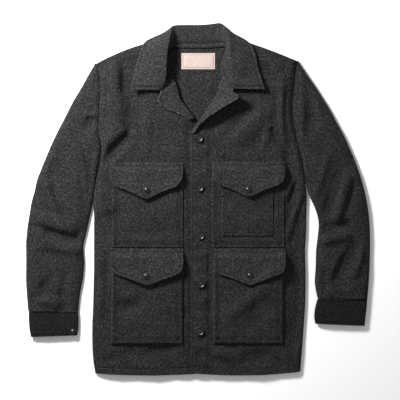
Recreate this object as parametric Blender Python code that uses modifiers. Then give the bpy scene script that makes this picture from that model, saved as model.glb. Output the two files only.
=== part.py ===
# Mackinaw jacket in heavy wool, laid flat on its back with the fronts up.
# +X is the wearer's left, +Y runs from hem to collar, +Z is up, and the back rests on z = 0.
# Tables and sizes are in millimetres and are turned to metres when a mesh is made.
import math

import bmesh
import bpy
import numpy as np

MM = 0.001

# Cloth and laying
CLOTH = 2.5            # body and sleeve cloth
FACING = 2.0           # lapel facing
POCKET_CLOTH = 2.2     # patch pockets
LAY_GAP = 0.4          # between one layer and the next
SEAM_GAP = 0.5         # between neighbours along a seam
SEAM_Z = 4.4           # outer height of a top panel where it meets the lower one
BODY_LOFT = 13.0       # outer height of the fronts
HEM_LOFT = 12.4        # outer height of the fronts at the hem
HEM_RISE = (-407.0, -330.0)
SLEEVE_LOFT = 15.5     # outer height of the sleeves
ROLL_WIDTH = 27.0      # how far from an edge the cloth still rounds over
ROLL_POWER = 2.2
OVERLAP_LIFT = 1.3     # the upper front rises by this over the lower one
OVERLAP_DROP = 1.9     # the lower front sinks by this under the upper one
OVERLAP_X = (-27.0, -19.0)
OVERLAP_END_X = (22.0, 48.0)
FOLD_FADE = 14.0       # folds fade out over this stretch beside an edge

# Cut of the fronts, one row from the armhole or side seam to the front edge:
# side_x, side_y, edge_x, edge_y, bow (rise of the row between its ends) and
# drop of the seam (1 = down to the back)
FRONT_RIGHT = (
    (-241, 317, -71, 376, 9.0, 1.00),
    (-235, 303, -64, 356, 7.0, 0.55),
    (-232, 283, -55, 328, 5.0, 0.40),
    (-231, 262, -56, 297, 3.0, 0.35),
    (-232, 238, -57, 264, 1.5, 0.35),
    (-233, 212, -48, 235, 0.0, 0.35),
    (-234, 187, -31, 211, 0.0, 0.40),
    (-235, 160, -16, 192, 0.0, 0.55),
    (-229, 137, 3, 170, 0.0, 0.75),
    (-227, 116, 18, 144, 0.0, 0.90),
    (-231, 86, 22, 86, 0.0, 1.00),
    (-235, 64, 22, 64, 0.0, 1.00),
    (-241, 34, 22, 34, 0.0, 1.00),
    (-245, 1, 22, 1, 0.0, 1.00),
    (-244, -37, 22, -37, 0.0, 1.00),
    (-244, -74, 22, -74, 0.0, 1.00),
    (-244, -112, 22, -112, 0.0, 1.00),
    (-244, -135, 22, -135, 0.0, 1.00),
    (-244, -166, 22, -166, 0.0, 1.00),
    (-245, -200, 22, -200, 0.0, 1.00),
    (-246, -246, 22, -246, 0.0, 1.00),
    (-248, -293, 22, -293, 0.0, 1.00),
    (-248, -337, 22, -337, 0.0, 1.00),
    (-246, -373, 22, -372, -2.0, 1.00),
    (-241, -407, 22, -406, -5.0, 1.00),
)
FRONT_LEFT = (
    (233, 324, 78, 380, 3.0, 1.00),
    (229, 308, 72, 357, 2.0, 0.60),
    (226, 288, 54, 332, 1.0, 0.45),
    (224, 266, 49, 304, 0.0, 0.40),
    (221, 241, 58, 279, 0.0, 0.40),
    (219, 215, 52, 250, 0.0, 0.40),
    (221, 184, 32, 218, 0.0, 0.50),
    (227, 154, 13, 191, 0.0, 0.65),
    (233, 123, -3, 167, 0.0, 0.85),
    (239, 104, -15, 146, 0.0, 1.00),
    (243, 88, -15, 88, 0.0, 1.00),
    (247, 64, -15, 64, 0.0, 1.00),
    (252, 36, -15, 36, 0.0, 1.00),
    (255, 6, -15, 6, 0.0, 1.00),
    (254, -37, -15, -37, 0.0, 1.00),
    (253, -85, -15, -85, 0.0, 1.00),
    (251, -112, -15, -112, 0.0, 1.00),
    (251, -135, -15, -135, 0.0, 1.00),
    (252, -166, -15, -166, 0.0, 1.00),
    (252, -198, -15, -198, 0.0, 1.00),
    (251, -246, -15, -246, 0.0, 1.00),
    (248, -293, -15, -293, 0.0, 1.00),
    (245, -336, -15, -336, 0.0, 1.00),
    (242, -373, -15, -372, -3.0, 1.00),
    (240, -403, -15, -406, -7.0, 1.00),
)
# Rows that are built: four close ones round the shoulder, then every row of the cut
FRONT_STEPS = (0, 0.14, 0.36, 0.65, *range(1, 25))
# Share of a row at each column, from the side seam to the front edge
FRONT_RIGHT_COLUMNS = (0, 0.011, 0.034, 0.068, 0.113, 0.162, 0.248, 0.353, 0.466, 0.58, 0.69, 0.786,
                       0.814, 0.846, 0.92, 1)
FRONT_LEFT_COLUMNS = (0, 0.011, 0.02, 0.045, 0.08, 0.134, 0.194, 0.291, 0.385, 0.496, 0.615, 0.735,
                      0.82, 0.87, 0.925, 0.98, 1)
HEM_JOIN = (-2.0, 8.0)       # the back's hem skips the fronts' points between these
BACK_NECK = ((-71, 376), (-50, 362), (-24, 359.5), (5, 358.5), (33, 360), (61, 364), (78, 380))

# Sleeves. The inner edge shares these rows with the front, from its second one, and then has its own points.
RIGHT_SHARED_ROWS = 13
LEFT_SHARED_ROWS = 11
SLEEVE_RIGHT_OUTER = (
    (-246, 310), (-259, 288), (-274, 261), (-292, 231), (-309, 198), (-327, 163), (-343, 130),
    (-357, 97), (-368, 70), (-378, 43), (-383, 20), (-390, -5), (-395, -34), (-400, -67),
    (-403, -100), (-403, -131), (-403, -161), (-403, -192), (-401, -225), (-398, -261),
)
SLEEVE_RIGHT_INNER = ((-252, -33), (-261, -74), (-269, -110), (-267, -145), (-270, -185), (-277, -222),
                      (-281, -261))
SLEEVE_LEFT_OUTER = (
    (238, 318), (257, 290), (275, 264), (293, 236), (309, 210), (325, 180), (342, 149), (355, 120),
    (364, 100), (370, 84), (378, 62), (386, 36), (394, 3), (399, -27), (402, -58), (403, -88),
    (403, -124), (402, -159), (400, -196), (397, -232),
)
SLEEVE_LEFT_INNER = ((253.5, 36), (262, 7), (276, -25), (283, -55), (281, -86), (277, -121), (276, -159),
                     (274, -196), (280, -231))
SLEEVE_COLUMNS = (0, 0.018, 0.05, 0.11, 0.2, 0.34, 0.5, 0.66, 0.8, 0.89, 0.95, 0.982, 1)
SLEEVE_STEPS = (0, 1, 2, 3, 4, 5, 6, 7, 8, 9, 10, 11, 11.5, 12, 12.5, 13, 13.33, 13.67, 14, 14.33, 14.67,
                15, 15.5, 16, 17, 18, 18.5, 19)

# Folds: from x, y to x, y, half width, height (minus = trough)
BODY_FOLDS = (
    (-205, 299, -207, 168, 19, 3.5),
    (-165, 318, -162, 205, 16, -3.2),
    (-158, 142, -214, 90, 9, -4.0),
    (-172, 156, -221, 118, 10, 2.6),
    (214, 125, 216, 55, 12, -3.4),
    (164, 205, 99, 140, 18, 2.6),
    (150, -213, 80, -265, 18, 2.2),
    (-174, -251, -162, -246, 17, -2.2),
    (-113, -359, -70, -354, 13, -1.8),
    (120, -372, 160, -366, 14, -1.5),
    (228, -10, 219, -307, 9, -1.6),
    (-228, 12, -220, -14, 9, 1.8),
)
LAPEL_TUCK = (-3, 178, -6, 148, 16, -5.0)     # the right front sinks under the left lapel
SLEEVE_FOLDS = (
    (-357, -70, -282, -95, 9.5, -5.0),
    (-362, -36, -292, -67, 12, 3.2),
    (-354, -98, -284, -120, 11, 2.4),
    (-348, 34, -303, -60, 9, 2.2),
    (-259, 172, -249, 181, 9, -3.6),
    (-353, -236, -334, -246, 10, 2.6),
    (-315, -225, -308, -255, 9, -2.4),
    (350, -50, 296, -67, 9, -5.0),
    (348, -76, 298, -88, 11, 2.8),
    (327, 50, 303, -34, 11, -3.6),
    (347, 46, 324, -50, 10, 2.4),
    (364, -119, 334, -178, 13, -2.4),
)

# Cuffs: left_x, left_y, right_x, right_y for each ring from the sleeve to the opening
CUFF_LOFT = 13.5
CUFF_RIGHT = ((-396, -261.6, -281, -261.6), (-396, -281, -280, -281), (-394.5, -302, -280.5, -302),
              (-391, -322, -283, -318))
CUFF_LEFT = ((280, -232.6, 396, -232.6), (274.5, -252, 394.5, -253), (272, -274, 392, -275),
             (274.5, -291, 390, -296))
CUFF_SEGMENTS = 32
CUFF_SQUARENESS = 3.4
CUFF_SPREAD = 0.8      # below 1 the ring's points crowd to its middle

# Collar, one row for each station from the right tip round the neck to the left tip:
# neck x, y, z, crest x, y, z, leaf edge x, y, z
COLLAR = (
    (-84, 254, 17.0, -89, 254, 18.5, -156, 255, 18.0),
    (-68, 272, 16.2, -78, 271, 24.0, -153.5, 270, 18.5),
    (-62, 288, 16.0, -74, 288, 28.0, -150, 288, 19.5),
    (-58, 309, 16.0, -75, 311, 31.0, -144, 313, 20.0),
    (-57.5, 332, 16.0, -74, 340, 31.0, -137, 339, 19.5),
    (-61.5, 350, 16.0, -72, 364, 28.0, -126, 366, 14.0),
    (-51, 355, 9.0, -66, 388, 20.0, -101, 382, 6.0),
    (-38, 355, 5.6, -58, 406, 9.5, -70, 391, 0.0),
    (-17, 355, 5.5, -28, 409, 5.0, -28, 369, 0.0),
    (5, 354.5, 5.5, 2, 409, 5.0, 2, 368, 0.0),
    (28, 355, 5.5, 30, 411, 5.0, 30, 369, 0.0),
    (49, 357, 5.7, 54, 412, 8.5, 63, 391, 0.0),
    (61, 358, 9.0, 67, 393, 18.5, 92, 385, 6.0),
    (65.5, 350, 16.0, 73, 368, 27.0, 121, 365, 14.0),
    (58, 332, 16.0, 74, 342, 30.0, 133, 342, 20.0),
    (52.5, 306, 16.0, 77, 313, 30.5, 139, 313, 21.0),
    (61, 284, 16.0, 80, 288, 28.0, 146, 288, 21.5),
    (68, 271, 16.2, 83, 271, 25.0, 151, 271, 21.5),
    (81, 257, 17.0, 87, 257, 19.5, 155, 255, 21.0),
)
COLLAR_ROLL = 30.0
PULL_LIMIT = 1.3       # how far a fold's roll may reach, as a share of the cloth beside it
STAND_STEPS = (0, 0.3, 0.6, 0.82, 0.94)
FALL_STEPS = (0, 0.05, 0.14, 0.3, 0.6, 1)

# Lapels, one row from the notch to the closing point:
# roll x, y, lapel edge x, y, z, how far the facing goes back inside
LAPEL_RIGHT = (
    (-52, 268, -86, 250, 19.0, 9),
    (-48, 252, -90, 240, 20.0, 9),
    (-42, 234, -92, 229, 20.5, 9),
    (-30, 216, -70, 211, 19.5, 8),
    (-17, 199, -34, 196, 18.5, 7),
    (-10, 189.5, -19, 186.5, 17.5, 4),
)
LAPEL_LEFT = (
    (51, 266, 80, 249, 20.5, 9),
    (47, 250, 88, 243, 23.5, 9),
    (39, 236, 93, 235, 25.0, 9),
    (26, 216, 62, 216, 24.5, 8),
    (9, 191, 26, 193, 22.5, 6),
    (-6, 170, 4, 174, 20.0, 2.4),
    (-14.5, 153.5, -9.5, 155, 18.2, 2.2),
)
LAPEL_ROLL = 9.0
LAPEL_PROBE = 5.0      # the front's height is taken this far outside the roll line

# Pockets and flaps as rows and columns of the front that carries them
CHEST_POCKET_ROWS = (14, 19)
LOWER_POCKET_ROWS = (20, 25)
SMALL_POCKET_ROWS = (14, 18)
RIGHT_POCKET_COLUMNS = (5, 11)
LEFT_POCKET_COLUMNS = (6, 12)
SMALL_POCKET_COLUMNS = (7, 11)
LOWER_POCKET_SWELL = 5.2     # the lower pockets stand this far off the front
POCKET_SKIRT = 1.0           # width of the turn at their edge
POCKET_FOOT = 1.4            # height of the turned edge's foot above the front
SKIRT_CORNER = 0.3           # how far the turned corner moves in, as a share of the turn
# Flaps: left x, top y, width, depth, outer height above the front at the top and over the pocket
FLAPS = {
    "flap_chest_right": (-206.5, 86, 172, 85, 3.0, 6.6, "chest"),
    "flap_chest_left": (33.5, 88, 170, 82, 3.0, 8.6, "chest"),
    "flap_lower_right": (-202, -114.5, 168, 85, 3.0, 9.6, "lower"),
    "flap_lower_left": (37.5, -114.5, 167, 84, 3.0, 9.6, "lower"),
}
# Lower edge of a flap: share across, share of its depth for a chest flap and for a lower flap
FLAP_EDGE = ((0, 0.42, 0.6), (0.035, 0.6, 0.67), (0.09, 0.69, 0.72), (0.18, 0.75, 0.79), (0.29, 0.83, 0.87),
             (0.4, 0.93, 0.94), (0.5, 1.0, 1.0), (0.6, 0.93, 0.94), (0.71, 0.83, 0.87), (0.82, 0.75, 0.79),
             (0.91, 0.69, 0.72), (0.965, 0.6, 0.67), (1, 0.42, 0.6))
FLAP_STEPS = (0, 0.14, 0.3, 0.6, 1)
FLAP_RISE = (3.0, 22.0)      # from the seam, the flap climbs onto the pocket between these distances
FLAP_REACH = 24.0            # a pocket button rests on the highest place within this distance

# Fastenings: x, y of each centre
FRONT_BUTTONS = ((2, 143), (3, 28), (5, -84), (6, -196), (4, -307))
POCKET_BUTTONS = {
    "pocket_button_chest_right": (-119, 22, "flap_chest_right"),
    "pocket_button_chest_left": (117, 23, "flap_chest_left"),
    "pocket_button_lower_right": (-120, -178, "flap_lower_right"),
    "pocket_button_lower_left": (121, -177, "flap_lower_left"),
}
CUFF_BUTTON = (-292, -309)
BUTTON_PROFILE = ((0, 1.3), (5.6, 1.3), (7.0, 2.6), (8.6, 3.0), (9.6, 2.2), (9.6, 1.0), (8.6, 0), (0, 0))
SMALL_PROFILE = ((0, 1.2), (3.6, 1.3), (5.0, 2.4), (6.4, 2.5), (7.0, 1.7), (7.0, 0.7), (6.2, 0), (0, 0))
BUTTON_STEPS = 20
BUTTON_FOOT = 9.0            # half width of a front button's seat
LABEL = (-39, 343, 79, 38, 0.7)      # left x, top y, width, height, thickness

WOOL = (0.036, 0.036, 0.038, 1.0)
WOOL_LIGHT = (0.05, 0.05, 0.053, 1.0)
HORN = (0.012, 0.011, 0.011, 1.0)
COTTON = (0.78, 0.72, 0.66, 1.0)


def clear_scene():
    for item in list(bpy.data.objects):
        bpy.data.objects.remove(item, do_unlink=True)


def make_material(name, colour, roughness, metallic=0.0):
    material = bpy.data.materials.new(name)
    material.use_nodes = True
    shader = material.node_tree.nodes["Principled BSDF"]
    shader.inputs["Base Color"].default_value = colour
    shader.inputs["Roughness"].default_value = roughness
    shader.inputs["Metallic"].default_value = metallic
    return material


def sample_rows(points, steps):
    index = np.arange(len(points))
    return np.stack([np.interp(steps, index, points[:, k]) for k in range(points.shape[1])], axis=-1)


def front_points(rows, columns):
    """Plan positions of a front's grid, rows from shoulder to hem, columns from side to edge."""
    share = np.array(columns)[None, :]
    table = sample_rows(np.array(rows, dtype=float), FRONT_STEPS)
    side_x, side_y, edge_x, edge_y, bow = (table[:, k][:, None] for k in range(5))
    x = side_x + (edge_x - side_x) * share
    y = side_y + (edge_y - side_y) * share + bow * 4 * share * (1 - share)
    return np.stack([x, y], axis=-1)


def sleeve_rows(outer, shared, inner):
    """Outer and inner edge points of a sleeve, row by row from the shoulder to the cuff."""
    outer_edge = np.array(outer, dtype=float)
    inner_edge = np.array([row[:2] for row in shared] + list(inner), dtype=float)
    return outer_edge, inner_edge


RIGHT_SLEEVE = sleeve_rows(SLEEVE_RIGHT_OUTER, FRONT_RIGHT[1:1 + RIGHT_SHARED_ROWS], SLEEVE_RIGHT_INNER)
LEFT_SLEEVE = sleeve_rows(SLEEVE_LEFT_OUTER, FRONT_LEFT[1:1 + LEFT_SHARED_ROWS], SLEEVE_LEFT_INNER)
RIGHT_PLAN = front_points(FRONT_RIGHT, FRONT_RIGHT_COLUMNS)
LEFT_PLAN = front_points(FRONT_LEFT, FRONT_LEFT_COLUMNS)


def roll_lines():
    """Lines where a top panel rounds down to the lower layer, as points and their drop."""
    lines = []
    for rows, plan in ((FRONT_RIGHT, RIGHT_PLAN), (FRONT_LEFT, LEFT_PLAN)):
        side = np.array([row[:2] for row in rows], dtype=float)
        lines.append((side, np.array([row[5] for row in rows])))
        lines.append((plan[0], np.ones(len(plan[0]))))
    for (outer, inner), shared in ((RIGHT_SLEEVE, RIGHT_SHARED_ROWS), (LEFT_SLEEVE, LEFT_SHARED_ROWS)):
        free = inner[shared - 1:]
        lines.append((outer, np.ones(len(outer))))
        lines.append((free, np.ones(len(free))))
    return lines


ROLL_LINES = roll_lines()


def segment_distance(points, start, end):
    """Distance from each point to a segment, and where along it the nearest place lies."""
    along = end - start
    length = max(float(along @ along), 1e-9)
    place = np.clip(((points - start) @ along) / length, 0, 1)
    return np.linalg.norm(points - start - place[:, None] * along, axis=1), place


def roll_share(points):
    """1 well inside a panel, 0 on an edge that meets the lower layer."""
    share = np.ones(len(points))
    nearest = np.full(len(points), 1e9)
    for line, drop in ROLL_LINES:
        for k in range(len(line) - 1):
            distance, place = segment_distance(points, line[k], line[k + 1])
            here = drop[k] + (drop[k + 1] - drop[k]) * place
            t = np.clip(distance / ROLL_WIDTH, 0, 1)
            curve = (1 - (1 - t) ** ROLL_POWER) ** (1 / ROLL_POWER)
            share = np.minimum(share, 1 - here * (1 - curve))
            nearest = np.minimum(nearest, distance)
    return share, nearest


def fold_height(points, folds):
    height = np.zeros(len(points))
    for x0, y0, x1, y1, half_width, rise in folds:
        distance, _ = segment_distance(points, np.array([x0, y0]), np.array([x1, y1]))
        height += rise * np.exp(-(distance / half_width) ** 2)
    return height


def top_height(points, part):
    """Outer height of the fronts or the sleeves at plan points."""
    flat = np.asarray(points, dtype=float).reshape(-1, 2)
    share, nearest = roll_share(flat)
    if part == "sleeve":
        loft = np.full(len(flat), SLEEVE_LOFT)
        folds = fold_height(flat, SLEEVE_FOLDS)
    else:
        low, high = HEM_RISE
        rise = np.clip((flat[:, 1] - low) / (high - low), 0, 1)
        loft = HEM_LOFT + (BODY_LOFT - HEM_LOFT) * rise * rise * (3 - 2 * rise)
        folds = fold_height(flat, BODY_FOLDS)
    folds *= np.clip(nearest / FOLD_FADE, 0, 1)
    height = SEAM_Z + (loft - SEAM_Z) * share + folds
    return height.reshape(np.shape(points)[:-1])


def smooth_step(value, low, high):
    t = np.clip((value - low) / (high - low), 0, 1)
    return t * t * (3 - 2 * t)


def right_front_height(plan):
    """The right front sinks where the left front lies over it."""
    sink = smooth_step(plan[..., 0], *OVERLAP_X)
    flat = plan.reshape(-1, 2)
    tuck = fold_height(flat, (LAPEL_TUCK,)).reshape(plan.shape[:-1])
    return top_height(plan, "front") - OVERLAP_DROP * sink + tuck


def left_front_height(plan):
    """The left front rises over the overlap."""
    lift = 1 - smooth_step(plan[..., 0], *OVERLAP_END_X)
    return top_height(plan, "front") + OVERLAP_LIFT * lift


def with_height(plan, height):
    return np.concatenate([plan, height[..., None]], axis=-1)


def link(item, material, collection):
    item.data.materials.append(material)
    collection.objects.link(item)
    return item


def grid_mesh(name, points):
    """A sheet of quads through a table of points."""
    rows, columns = points.shape[:2]
    bm = bmesh.new()
    bmesh.ops.create_grid(bm, x_segments=columns - 1, y_segments=rows - 1, size=1.0)
    bm.verts.ensure_lookup_table()
    for index, place in enumerate(points.reshape(-1, 3)):
        bm.verts[index].co = place * MM
    mesh = bpy.data.meshes.new(name)
    bm.to_mesh(mesh)
    bm.free()
    mesh.shade_smooth()
    return mesh


def cloth_wall(name, points, wall, material, collection):
    """A sheet given by its outer face, thickened inwards."""
    item = link(bpy.data.objects.new(name, grid_mesh(name, points)), material, collection)
    solid = item.modifiers.new("wall", "SOLIDIFY")
    solid.thickness = wall * MM
    solid.offset = -1
    solid.use_even_offset = True
    return item


def flat_panel(name, outline, wall, material, collection):
    """A panel cut flat and laid on the ground."""
    curve = bpy.data.curves.new(name, "CURVE")
    curve.dimensions = "2D"
    curve.fill_mode = "BOTH"
    curve.extrude = wall * MM / 2
    spline = curve.splines.new("POLY")
    spline.points.add(len(outline) - 1)
    for point, (x, y) in zip(spline.points, outline):
        point.co = (x * MM, y * MM, 0, 1)
    spline.use_cyclic_u = True
    item = link(bpy.data.objects.new(name, curve), material, collection)
    item.location.z = wall * MM / 2
    return item


def shift_x(points, amount):
    moved = np.array(points, dtype=float)
    moved[..., 0] += amount
    return moved


def build_back(material, collection):
    half = SEAM_GAP / 2
    right = RIGHT_PLAN.copy()
    left = LEFT_PLAN.copy()
    right_hem = [p for p in right[-1][1:] if p[0] < HEM_JOIN[0]]
    left_hem = [p for p in left[-1][::-1][:-1] if p[0] > HEM_JOIN[1]]
    outline = [*shift_x(right[:, 0], half), *right_hem, *left_hem, *shift_x(left[::-1, 0], -half)]
    outline += [*left[0][1:-1], *BACK_NECK[::-1], *right[0][::-1][1:-1]]
    return flat_panel("back", outline, CLOTH, material, collection)


def build_fronts(material, collection):
    half = SEAM_GAP / 2
    right = with_height(RIGHT_PLAN, right_front_height(RIGHT_PLAN))
    right[:, 0, 0] += half
    left = with_height(LEFT_PLAN, left_front_height(LEFT_PLAN))
    left[:, 0, 0] -= half
    cloth_wall("front_right", right[::-1], CLOTH, material, collection)
    cloth_wall("front_left", left[::-1, ::-1], CLOTH, material, collection)
    return right, left


def build_sleeve(side, edges, shared, material, collection):
    """A sleeve's under panel, flat on the ground, and its top panel rounded over it."""
    outer, inner = (e.copy() for e in edges)
    shift = SEAM_GAP / 2 * (-1 if side == "right" else 1)
    inner[:shared, 0] += shift
    outline = [*outer, *inner[::-1]]
    flat_panel(f"sleeve_{side}_under", outline, CLOTH, material, collection)
    outer, inner = sample_rows(outer, SLEEVE_STEPS), sample_rows(inner, SLEEVE_STEPS)
    share = np.array(SLEEVE_COLUMNS)[None, :, None]
    plan = outer[:, None, :] + (inner - outer)[:, None, :] * share
    points = with_height(plan, top_height(plan, "sleeve"))
    if side == "left":
        points = points[:, ::-1]
    return cloth_wall(f"sleeve_{side}_top", points[::-1], CLOTH, material, collection)


def cuff_bulge(across):
    """How full a cuff is from its middle (1) to its ends (0)."""
    return (1 - abs(across) ** CUFF_SQUARENESS) ** (1 / CUFF_SQUARENESS)


def flattened_ring(row):
    """Section of a cuff that lies flat: wide, low and round at both ends."""
    left_x, left_y, right_x, right_y = row
    ring = []
    for k in range(CUFF_SEGMENTS):
        angle = 2 * math.pi * k / CUFF_SEGMENTS
        across = math.copysign(abs(math.cos(angle)) ** CUFF_SPREAD, math.cos(angle))
        share = (1 + across) / 2
        height = CUFF_LOFT / 2 * (1 + math.copysign(cuff_bulge(across), math.sin(angle)))
        ring.append((left_x + (right_x - left_x) * share, left_y + (right_y - left_y) * share, height))
    return ring


def build_cuff(name, rows, material, collection):
    bm = bmesh.new()
    rings = [[bm.verts.new([c * MM for c in p]) for p in flattened_ring(row)] for row in rows]
    for first, second in zip(rings, rings[1:]):
        for k in range(CUFF_SEGMENTS):
            n = (k + 1) % CUFF_SEGMENTS
            bm.faces.new((first[k], second[k], second[n], first[n]))
    bmesh.ops.recalc_face_normals(bm, faces=bm.faces)
    mesh = bpy.data.meshes.new(name)
    bm.to_mesh(mesh)
    bm.free()
    mesh.shade_smooth()
    item = link(bpy.data.objects.new(name, mesh), material, collection)
    solid = item.modifiers.new("wall", "SOLIDIFY")
    solid.thickness = CLOTH * MM
    solid.offset = -1
    return item


def hermite(start, end, start_pull, end_pull, t):
    a = 2 * t ** 3 - 3 * t ** 2 + 1
    b = t ** 3 - 2 * t ** 2 + t
    c = -2 * t ** 3 + 3 * t ** 2
    d = t ** 3 - t ** 2
    return a * start + b * start_pull + c * end + d * end_pull


def folded_section(inner, crest, edge, roll):
    """Line from the inner edge over the fold to the free edge."""
    to_edge, to_inner = edge - crest, inner - crest
    edge_length, inner_length = np.linalg.norm(to_edge), np.linalg.norm(to_inner)
    turn = to_edge / edge_length - to_inner / inner_length
    turn /= max(np.linalg.norm(turn), 1e-6)
    pull_in = min(roll, PULL_LIMIT * inner_length)
    pull_out = min(roll, PULL_LIMIT * edge_length)
    points = [hermite(inner, crest, -to_inner, turn * pull_in, t) for t in STAND_STEPS]
    points += [hermite(crest, edge, turn * pull_out, to_edge, t) for t in FALL_STEPS]
    return points


def build_collar(material, collection):
    sections = []
    for row in COLLAR:
        inner, crest, edge = (np.array(row[k:k + 3], dtype=float) for k in (0, 3, 6))
        section = np.array(folded_section(inner, crest, edge, COLLAR_ROLL))
        section[:, 2] = np.maximum(section[:, 2], 0)
        sections.append(section)
    points = np.array(sections)[::-1]
    return cloth_wall("collar", points, CLOTH, material, collection)


def build_lapel(name, rows, surface, material, collection):
    """A facing that wraps the front's edge and turns out as the lapel."""
    sections = []
    for roll_x, roll_y, edge_x, edge_y, edge_z, back in rows:
        outward = np.array([edge_x - roll_x, edge_y - roll_y], dtype=float)
        outward /= np.linalg.norm(outward)
        top = float(surface(np.array([roll_x, roll_y]) + outward * LAPEL_PROBE))
        crest = np.array([roll_x, roll_y, top - CLOTH / 2])
        low = max(top - CLOTH - LAY_GAP - FACING, CLOTH + LAY_GAP)
        inner = np.array([roll_x + outward[0] * back, roll_y + outward[1] * back, low])
        edge = np.array([edge_x, edge_y, edge_z])
        sections.append(folded_section(inner, crest, edge, LAPEL_ROLL))
    points = np.array(sections)
    points[..., 2] = np.maximum(points[..., 2], CLOTH + LAY_GAP)
    if name.endswith("right"):
        points = points[::-1]
    return cloth_wall(name, points, FACING, material, collection)


def patch(front, rows, columns, offset):
    """Points of a front under a pocket, moved out."""
    points = front[rows[0]:rows[1] + 1, columns[0]:columns[1] + 1].copy()
    points[..., 2] += offset
    return points


def skirted(points, base_offset, swell):
    """A pocket that stands off the front, with its edge turned down on three sides."""
    top, foot = points.copy(), points.copy()
    top[..., 2] += swell
    foot[..., 2] += base_offset
    top[:, 0, 0] += POCKET_SKIRT
    top[:, -1, 0] -= POCKET_SKIRT
    top[-1, :, 1] += POCKET_SKIRT
    foot[:-1, :, 1] = top[:-1, :, 1]
    left, right = foot[:, :1].copy(), foot[:, -1:].copy()
    left[-1, :, 1] += POCKET_SKIRT
    right[-1, :, 1] += POCKET_SKIRT
    bottom = foot[-1:].copy()
    bottom[:, 0, 0] += POCKET_SKIRT
    bottom[:, -1, 0] -= POCKET_SKIRT
    corner = SKIRT_CORNER * POCKET_SKIRT
    first, last = foot[-1:, :1] + (corner, corner, 0), foot[-1:, -1:] + (-corner, corner, 0)
    upper = np.concatenate([left, top, right], axis=1)
    lower = np.concatenate([first, bottom, last], axis=1)
    return np.concatenate([upper, lower], axis=0)


def outward_rows(points, right_side):
    """Grid order whose faces point up."""
    return points[::-1] if right_side else points[::-1, ::-1]


def build_pockets(right, left, material, collection):
    plain = LAY_GAP + POCKET_CLOTH
    small = plain + LAY_GAP + POCKET_CLOTH
    cloth_wall("pocket_chest_right",
               outward_rows(patch(right, CHEST_POCKET_ROWS, RIGHT_POCKET_COLUMNS, plain), True),
               POCKET_CLOTH, material, collection)
    cloth_wall("pocket_chest_left",
               outward_rows(patch(left, CHEST_POCKET_ROWS, LEFT_POCKET_COLUMNS, plain), False),
               POCKET_CLOTH, material, collection)
    cloth_wall("pocket_chest_small",
               outward_rows(patch(left, SMALL_POCKET_ROWS, SMALL_POCKET_COLUMNS, small), False),
               POCKET_CLOTH, material, collection)
    for name, front, columns, is_right in (("pocket_lower_right", right, RIGHT_POCKET_COLUMNS, True),
                                           ("pocket_lower_left", left, LEFT_POCKET_COLUMNS, False)):
        points = patch(front, LOWER_POCKET_ROWS, columns, 0)
        points = points if is_right else points[:, ::-1]
        cloth_wall(name, skirted(points, POCKET_FOOT, LOWER_POCKET_SWELL)[::-1], POCKET_CLOTH,
                   material, collection)


def flap_points(name):
    left_x, top_y, width, depth, low, high, shape = FLAPS[name]
    edge = np.array(FLAP_EDGE)
    share, drop = edge[:, 0], edge[:, 1 if shape == "chest" else 2]
    steps = np.array(FLAP_STEPS)[:, None]
    x = left_x + width * share[None, :] + 0 * steps
    y = top_y - depth * drop[None, :] * steps
    plan = np.stack([x, y], axis=-1)
    rise = low + (high - low) * smooth_step(top_y - y, *FLAP_RISE)
    surface = left_front_height if name.endswith("left") else right_front_height
    return with_height(plan, surface(plan) + rise)


def build_flaps(material, collection):
    for name in FLAPS:
        cloth_wall(name, flap_points(name)[::-1], CLOTH, material, collection)


def surface_z(points, x, y, reach):
    """Highest outer point of a sheet near a plan position."""
    near = np.hypot(points[..., 0] - x, points[..., 1] - y) < reach
    return float(points[..., 2][near].max())


def build_button(name, profile, x, y, z, material, collection):
    """A turned disc with a raised rim."""
    mesh = bpy.data.meshes.new(name)
    outline = [(r * MM, 0, h * MM) for r, h in profile]
    mesh.from_pydata(outline, [(k, k + 1) for k in range(len(outline) - 1)], [])
    item = link(bpy.data.objects.new(name, mesh), material, collection)
    item.location = (x * MM, y * MM, z * MM)
    turn = item.modifiers.new("turn", "SCREW")
    turn.steps = turn.render_steps = BUTTON_STEPS
    turn.use_merge_vertices = True
    turn.merge_threshold = 0.00005
    turn.use_normal_calculate = True
    return item


def build_fastenings(horn, collection):
    for number, (x, y) in enumerate(FRONT_BUTTONS, 1):
        steps = (-BUTTON_FOOT, 0, BUTTON_FOOT)
        around = np.array([(x + dx, y + dy) for dx in steps for dy in steps])
        z = float(left_front_height(around).max()) + LAY_GAP
        build_button(f"button_{number}", BUTTON_PROFILE, x, y, z, horn, collection)
    for name, (x, y, flap) in POCKET_BUTTONS.items():
        z = surface_z(flap_points(flap), x, y, FLAP_REACH) + LAY_GAP
        build_button(name, SMALL_PROFILE, x, y, z, horn, collection)
    x, y = CUFF_BUTTON
    left_x, _, right_x, _ = CUFF_RIGHT[2]
    across = 2 * (x - SMALL_PROFILE[-3][0] - left_x) / (right_x - left_x) - 1
    z = CUFF_LOFT / 2 * (1 + cuff_bulge(across)) + LAY_GAP
    build_button("cuff_button_right", SMALL_PROFILE, x, y, z, horn, collection)


def build_label(material, collection):
    left_x, top_y, width, height, thick = LABEL
    bpy.ops.mesh.primitive_cube_add(size=1)
    item = bpy.context.object
    item.name = "label"
    item.scale = (width * MM, height * MM, thick * MM)
    item.location = ((left_x + width / 2) * MM, (top_y - height / 2) * MM, (CLOTH + LAY_GAP + thick / 2) * MM)
    for holder in list(item.users_collection):
        holder.objects.unlink(item)
    return link(item, material, collection)


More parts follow.
